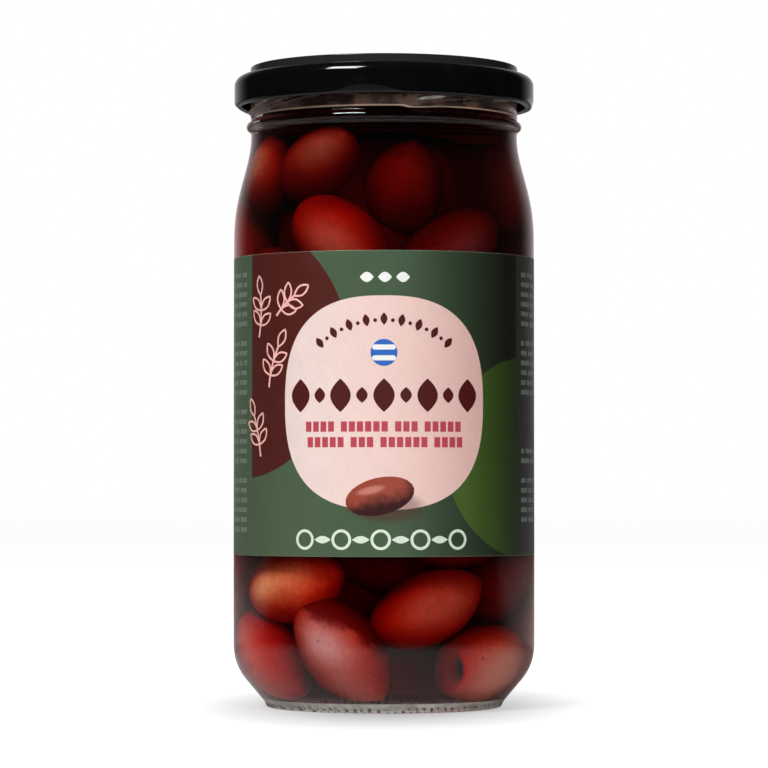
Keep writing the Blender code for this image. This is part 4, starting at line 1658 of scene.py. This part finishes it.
@dataclass
class PaperLabel:
    """The label: a paper tube in the jar's recess, with its print as thin patches of ink."""

    form: JarForm
    outer_radius: float
    thickness: float = 0.22 * MM
    proud: float = 0.03 * MM
    edge_inset: float = 0.05 * MM
    row_inset: float = 0.12 * MM
    ink_step: float = 0.012 * MM
    columns: int = 360
    rows: int = 20
    seed: int = 3
    flat: float = 0.8
    leaf_line: float = 0.42
    stem_line: float = 0.5
    sprig_leaf: Pair = (4.4, 2.0)
    sprig_spread: float = 48.0
    sprig_places: tuple[float, float, float] = (0.3, 0.65, 1.0)
    leaf_ends: Pair = (0.97, 0.03)
    leaf_power: float = 0.9
    word_space: float = 0.3
    patches: dict[Ink, list] = field(default_factory=dict)

    @property
    def paper_radius(self) -> float:
        """Outer radius of the paper, under the ink."""
        return self.outer_radius - self.proud

    def patch(self, ink: Ink, across: np.ndarray, height: np.ndarray) -> None:
        """Adds a patch of ink given by grids of (across, height) in millimetres, counted anticlockwise."""
        self.patches.setdefault(ink, []).append((across * MM, height * MM))

    def polar(self, ink: Ink, spot: Spot, shares: np.ndarray, sizes: Pair, steps: int,
              turn: float = 0.0) -> None:
        """Adds a round patch: places at shares of (a cos angle, b sin angle) from its middle.

        Args:
            ink: Ink of the patch.
            spot: Its middle.
            shares: Shares of the two sizes, from the inside out.
            sizes: The sizes a and b.
            steps: Number of steps round it.
            turn: Angle in degrees by which it is turned.
        """
        share, angle = np.meshgrid(shares, np.linspace(0.0, 2.0 * np.pi, steps + 1), indexing="ij")
        right, up = sizes[0] * share * np.cos(angle), sizes[1] * share * np.sin(angle)
        self.patch(ink, *spot.beside(right, up, turn))

    def oval(self, ink: Ink, spot: Spot, half: Pair, turn: float = 0.0) -> None:
        """Adds an oval with the given half width and half height, turned by an angle in degrees."""
        rings = 2 + math.ceil(max(half) / self.flat)
        self.polar(ink, spot, np.linspace(0.0, 1.0, rings), half, 24, turn)

    def ring(self, ink: Ink, spot: Spot, radius: float, thick: float) -> None:
        """Adds a ring of even thickness."""
        self.polar(ink, spot, np.linspace(radius - 0.5 * thick, radius + 0.5 * thick, 3), (1.0, 1.0), 36)

    def bar(self, ink: Ink, spot: Spot, length: float, thick: float) -> None:
        """Adds a level round-ended bar: a strip whose half thickness is that of a stadium at each place.

        Args:
            ink: Ink of the bar.
            spot: Its middle.
            length: Its length.
            thick: Its thickness.
        """
        along = np.linspace(-1.0, 1.0, 21)
        radius = thick / length
        end = np.clip((np.abs(along) - 1.0 + radius) / radius, 0.0, 1.0)
        half = 0.5 * thick * np.sqrt(1.0 - end ** 2)
        right = np.repeat((0.5 * length * along)[:, None], 3, axis=1)
        self.patch(ink, *spot.beside(right, half[:, None] * np.array([-1.0, 0.0, 1.0])))

    def leaf(self, ink: Ink, spot: Spot, size: Pair, turn: float) -> None:
        """Adds a pointed leaf: half width times the sine of the way along, to a power under one.

        Args:
            ink: Ink of the leaf.
            spot: Its foot.
            size: Its length and width.
            turn: Angle in degrees from level to its tip.
        """
        length, width = size
        along = np.linspace(0.0, 1.0, 17)
        half = 0.5 * width * np.sin(np.pi * along) ** self.leaf_power
        sides = np.linspace(-1.0, 1.0, 3 + 2 * math.ceil(0.5 * width / self.flat))
        right = np.repeat((length * along)[:, None], len(sides), axis=1)
        self.patch(ink, *spot.beside(right, half[:, None] * sides, turn))

    def stroke(self, ink: Ink, across: np.ndarray, height: np.ndarray, thick: float) -> None:
        """Adds a line of even thickness: each place on its middle plus and minus half the normal.

        Args:
            ink: Ink of the line.
            across: Distances round the paper of the places on its middle.
            height: Their heights.
            thick: Thickness of the line.
        """
        right, up = np.gradient(across), np.gradient(height)
        size = np.hypot(right, up)
        sides = 0.5 * thick * np.array([-1.0, 1.0])
        self.patch(ink, across[:, None] - (up / size)[:, None] * sides,
                   height[:, None] + (right / size)[:, None] * sides)

    def outline_leaf(self, ink: Ink, spot: Spot, turn: float) -> None:
        """Adds a sprig's leaf drawn in line: out along one sine side and back along the other.

        Args:
            ink: Ink of the leaf.
            spot: Its foot.
            turn: Angle in degrees from level to its tip.
        """
        length, width = self.sprig_leaf
        out, back = np.linspace(0.0, self.leaf_ends[0], 13), np.linspace(*self.leaf_ends, 13)[1:]
        along = np.concatenate([out, back])
        side = np.concatenate([np.full(13, 1.0), np.full(12, -1.0)])
        up = 0.5 * width * side * np.sin(np.pi * along)
        self.stroke(ink, *spot.beside(length * along, up, turn), self.leaf_line)

    def sprig(self, ink: Ink, spot: Spot, length: float, turn: float, bend: float) -> None:
        """Adds a sprig in line: a stem that bends as a square, with leaf pairs and one at its end.

        Args:
            ink: Ink of the sprig.
            spot: Its foot.
            length: Length of its stem.
            turn: Angle in degrees of the stem at its foot.
            bend: How far the stem bends to the left by its end.
        """
        share = np.linspace(0.0, 1.0, 15)
        self.stroke(ink, *spot.beside(length * share, bend * share ** 2, turn), self.stem_line)
        for place in self.sprig_places:
            base = Spot(*spot.beside(length * place, bend * place ** 2, turn))
            heading = turn + math.degrees(math.atan2(2.0 * bend * place, length))
            for spread in ((-self.sprig_spread, self.sprig_spread) if place < 1.0 else (0.0,)):
                self.outline_leaf(ink, base, heading + spread)

    def words(self, ink: Ink, spot: Spot, counts: tuple[int, ...], block: Pair, gap: float) -> None:
        """Adds a row of words made of small blocks, one after another.

        Args:
            ink: Ink of the words.
            spot: Left end of the row and height of its middle.
            counts: Number of blocks in each word.
            block: Width and height of a block.
            gap: Space between the blocks of a word.
        """
        left = spot.across
        steps = np.linspace(0.0, 1.0, 2 + math.floor(block[0] / self.flat))
        heights = spot.height + 0.5 * block[1] * np.array([-1.0, 1.0])
        for count in counts:
            for _ in range(count):
                self.patch(ink, *np.meshgrid(left + block[0] * steps, heights))
                left += block[0] + gap
            left += 2.0 * gap + self.word_space

    def design(self, layout: PrintLayout) -> None:
        """Lays out the print of the front.

        Args:
            layout: Where the print lies.
        """
        for across, height, *form in layout.sprigs:
            self.sprig(Ink.ROSE, Spot(across, height), *form)
        for step in range(-8, 9):
            angle = math.radians(90.0 - layout.arch_step * step)
            radius = layout.arch_radii[1 - step % 2]
            spot = Spot(radius * math.cos(angle), layout.arch_middle + radius * math.sin(angle))
            if step % 2:
                self.oval(Ink.DARK_WORD, spot, (layout.arch_dot, layout.arch_dot))
            else:
                self.leaf(Ink.DARK_WORD, spot, layout.arch_leaf, math.degrees(angle))
        for step in range(-4, 5):
            height, *size = layout.title_leaves[step % 2]
            self.leaf(Ink.DARK_WORD, Spot(layout.title_step * step, height), size, 90.0)
        for across, height, counts in layout.word_rows:
            self.words(Ink.CRIMSON, Spot(across, height), counts, layout.word_block, layout.word_gap)
        self.oval(Ink.BLUE, layout.badge, (layout.badge_radius, layout.badge_radius))
        for rise in layout.badge_bars:
            self.bar(Ink.WHITE, layout.badge._replace(height=layout.badge.height + rise), *layout.badge_bar)
        fruit = PrintedFruit()
        self.oval(Ink.FRUIT, Spot(*fruit.middle), layout.fruit, fruit.turn)
        for step in range(-4, 5):
            spot = layout.chain._replace(across=layout.chain_step * step + layout.chain.across)
            if step % 2:
                foot = spot._replace(across=spot.across - 0.5 * layout.chain_leaf[0])
                self.leaf(Ink.PALE_GREEN, foot, layout.chain_leaf, 0.0)
            else:
                self.ring(Ink.PALE_GREEN, spot, *layout.chain_ring)
        for step in (-1, 0, 1):
            spot = layout.crown._replace(across=layout.crown_step * step + layout.crown.across)
            self.leaf(Ink.WHITE, spot, layout.crown_leaf, 0.0)

    def side_text(self, layout: SideLayout) -> None:
        """Lays out the rows of small blocks on both side panels, with seeded word lengths.

        Args:
            layout: Where the rows lie.
        """
        draw = random.Random(self.seed)
        groups = [(True, rows) for rows in layout.left_rows] + [(False, rows) for rows in layout.right_rows]
        for on_left, rows in groups:
            for row in rows:
                if row % layout.rows_in_group == layout.rows_in_group - 1:
                    continue
                counts = tuple(draw.randint(*layout.letters) for _ in range(draw.randint(*layout.words)))
                width = sum(counts) * layout.letter_width + len(counts) * layout.word_space
                start = layout.left_end - width if on_left else layout.right_start
                spot = Spot(start, layout.top - layout.pitch * row)
                self.words(Ink.SIDE_TEXT, spot, counts, layout.block, layout.gap)

    def ink_mesh(self, ink: Ink) -> bpy.types.Object:
        """Joins the patches of one ink: each is a thin closed plate bent round the paper.

        Args:
            ink: The ink.

        Returns:
            The new object.
        """
        points, faces, start = [], [], 0
        for across, height in self.patches[ink]:
            azimuth = across / self.outer_radius
            for step in (1 + ink.layer, -1):
                radius = self.paper_radius + step * self.ink_step
                plate = np.stack([radius * np.sin(azimuth), -radius * np.cos(azimuth), height], axis=2)
                points.append(plate.reshape(-1, 3))
            quads = grid_faces(*across.shape, False)
            index = np.arange(across.size).reshape(across.shape)
            edge = np.concatenate([index[0, :-1], index[:-1, -1], index[-1, :0:-1], index[:0:-1, 0]])
            following = np.roll(edge, -1)
            walls = np.column_stack([edge, edge + across.size, following + across.size, following])
            for rows in (quads[:, ::-1], quads + across.size, walls):
                faces += (rows + start).tolist()
            start += 2 * across.size
        return mesh_piece("print_" + ink.name.lower(), np.vstack(points), faces, smooth=False)

    def paper(self) -> bpy.types.Object:
        """Makes the paper tube, with rows close to its edges that keep its shading even.

        Returns:
            The paper.
        """
        low, high = self.form.label_low, self.form.label_high
        rows = np.linspace(low + self.row_inset, high - self.row_inset, self.rows)
        heights = np.concatenate([[low + self.edge_inset], rows, [high - self.edge_inset]])
        edge, inner = self.paper_radius - self.edge_inset, self.paper_radius - self.thickness
        ends = [(edge, high), (inner, high), (inner, low), (edge, low)]
        profile = np.vstack([column(self.paper_radius, heights), ends])
        paper = turned_piece("label_paper", profile, self.columns)
        paper.data.materials.append(PrintedPaper(self.paper_radius).material())
        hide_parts("label")
        return paper

    def build(self) -> list[bpy.types.Object]:
        """Makes the paper in place of the plain label, and its print.

        Returns:
            The paper and its print.
        """
        pieces = [self.paper()]
        self.design(PrintLayout())
        self.side_text(SideLayout())
        for ink in self.patches:
            piece = self.ink_mesh(ink)
            if ink is Ink.FRUIT:
                piece.data.materials.append(PrintedFruit().material(self.paper_radius))
            else:
                piece.data.materials.append(PrintedInk(ink).material())
            pieces.append(piece)
        for piece in pieces:
            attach(piece, BODY)
        return pieces


@dataclass(frozen=True)
class SoftBox:
    """A square lamp that faces the jar: degrees from the front and above level, metres and watts."""

    name: str
    azimuth: float
    elevation: float
    distance: float
    size: Pair
    power: float
    in_gloss: bool = False

    def build(self, target: Vector) -> None:
        """Adds the lamp, which faces the target. Glossy and clear surfaces show it only if it is in gloss.

        Args:
            target: Place that the lamp faces.
        """
        lamp = bpy.data.lights.new(self.name, "AREA")
        lamp.shape = "RECTANGLE"
        lamp.size, lamp.size_y = self.size
        lamp.energy = self.power
        rise = math.radians(self.elevation)
        level = outward(math.radians(self.azimuth)) * math.cos(rise)
        out = Vector((level[0], level[1], math.sin(rise)))
        piece = bpy.data.objects.new(self.name, lamp)
        piece.location = target + out * self.distance
        piece.rotation_euler = (-out).to_track_quat("-Z", "Y").to_euler()
        piece.visible_glossy = self.in_gloss
        piece.visible_transmission = self.in_gloss
        piece.visible_camera = False
        bpy.context.scene.collection.objects.link(piece)


@dataclass(frozen=True)
class PaleFloor:
    """A wide floor that the camera sees as white, with a painted soft shadow round the jar's foot.

    The shadow is longest from front to back. All other rays see grey round the jar and behind it, and black
    farther off in front, so that the glass shows no bright floor.
    """

    radii: tuple[float, float, float] = (0.2, 1.0, 6.0)
    thickness: float = 0.01
    columns: int = 96
    grain: Noise = Noise(60.0)
    tone: Pair = (0.19, 0.21)
    shadow_stretch: float = 2.0
    shadow_span: Pair = (0.025, 0.1)
    shadow_glow: Pair = (0.28, 0.95)
    dark_edge: Pair = (0.22, 0.42)
    back_edge: Pair = (0.15, 0.3)
    lit_share: float = 0.5

    def material(self) -> bpy.types.Material:
        """Builds the material: one shader for the camera's own rays and a plain one for all others.

        The camera's shader glows less round the foot, a painted shadow.

        Returns:
            The material.
        """
        graph = Graph.material("pale_floor")
        x, y, _ = graph.place()
        away = graph.length(graph.times(x, self.shadow_stretch), y)
        # Painted shadow: the glow dips round the jar's foot
        seen = graph.surface(Base_Color=graph.grey(graph.spread(graph.noise(self.grain), *self.tone)),
                             Roughness=1.0, Emission_Color=WHITE,
                             Emission_Strength=graph.span(away, *self.shadow_span, *self.shadow_glow))
        near = graph.soft_drop(graph.length(x, y), *self.dark_edge)
        share = graph.times(graph.math("MAXIMUM", near, graph.soft_step(y, *self.back_edge)), self.lit_share)
        lit = graph.node("ShaderNodeBsdfDiffuse", {"Color": graph.grey(share)}).outputs[0]
        return graph.finish(graph.for_camera(lit, seen))

    def build(self) -> None:
        """Lays the floor under the jar."""
        rows = [(0.0, 0.0)] + [(radius, 0.0) for radius in self.radii]
        rows += [(self.radii[-1], -self.thickness), (0.0, -self.thickness)]
        piece = turned_piece("pale_floor", np.array(rows)[::-1], self.columns)
        piece.data.materials.append(self.material())


@dataclass
class Studio:
    """Pale floor, soft light and the camera."""

    target: tuple[float, float, float] = (0.0, 0.0, 71.9 * MM)
    camera_place: tuple[float, float, float] = (0.0, -804.0 * MM, 48.7 * MM)
    lens: float = 168.75
    sensor: float = 36.0
    clip_start: float = 0.01
    lamps: tuple[SoftBox, ...] = (SoftBox("key", -36.0, 47.0, 1.0, (0.36, 0.34), 8.5, True),
                                  SoftBox("fill", 14.0, 10.0, 1.3, (0.8, 0.8), 9.5),
                                  SoftBox("top", 0.0, 88.0, 1.4, (0.9, 0.9), 7.5))
    room_span: Pair = (0.62, 1.08)
    room_strength: Pair = (0.012, 0.62)
    bounces: tuple[int, int, int] = (16, 14, 24)

    def camera(self) -> None:
        """Makes the camera at the photograph's angle."""
        data = bpy.data.cameras.new("camera")
        data.lens = self.lens
        data.sensor_width = self.sensor
        data.clip_start = self.clip_start
        camera = bpy.data.objects.new("camera", data)
        camera.location = self.camera_place
        towards = Vector(self.target) - camera.location
        camera.rotation_euler = towards.to_track_quat("-Z", "Y").to_euler()
        bpy.context.scene.collection.objects.link(camera)
        bpy.context.scene.camera = camera

    def world(self) -> None:
        """Sets a white room behind the jar and a dark one in front, which the glass reflects."""
        world = bpy.data.worlds.new("studio")
        bpy.context.scene.world = world
        graph = Graph(world, "ShaderNodeOutputWorld")
        back = graph.node("ShaderNodeSeparateXYZ", {0: graph.node("ShaderNodeTexCoord").outputs["Generated"]})
        low, high = self.room_span
        shape = {"Value": back.outputs[1], "From Min": low, "From Max": high,
                 "To Min": self.room_strength[0], "To Max": self.room_strength[1]}
        strength = graph.node("ShaderNodeMapRange", shape, interpolation_type="SMOOTHSTEP").outputs[0]
        room = graph.node("ShaderNodeBackground", {"Color": WHITE, "Strength": strength}).outputs[0]
        white = graph.node("ShaderNodeBackground", {"Color": WHITE}).outputs[0]
        graph.finish(graph.for_camera(room, white))

    def settings(self) -> None:
        """Sets how light is traced and shown: no caustics, enough passes through clear pieces."""
        scene = bpy.context.scene
        scene.view_settings.view_transform = "Standard"
        scene.cycles.caustics_refractive = False
        scene.cycles.caustics_reflective = False
        (scene.cycles.max_bounces, scene.cycles.transmission_bounces,
         scene.cycles.transparent_max_bounces) = self.bounces
        scene.cycles.use_denoising = True

    def build(self) -> None:
        """Makes the whole stage."""
        self.camera()
        for lamp in self.lamps:
            lamp.build(Vector(self.target))
        self.world()
        PaleFloor().build()
        self.settings()


def main() -> None:
    """Builds every sub-assembly in order and reports its pieces."""
    logging.basicConfig(level=logging.INFO, format="%(message)s")
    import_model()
    label_low, label_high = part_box("label")
    lid_low, lid_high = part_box("lid")
    jar_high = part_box("jar")[1]
    form = JarForm(body_radius=jar_high[0], label_low=label_low[2], label_high=label_high[2])
    Studio().build()
    parts = (GlassJar(form), BrineFill(form), OliveHeap(form), TwistLid(lid_high[2], lid_low[2]),
             PaperLabel(form, label_high[0]))
    for part in parts:
        for piece in part.build():
            LOG.info("%s: %s, %d faces", type(part).__name__, piece.name, len(piece.data.polygons))


if __name__ == "__main__":
    main()
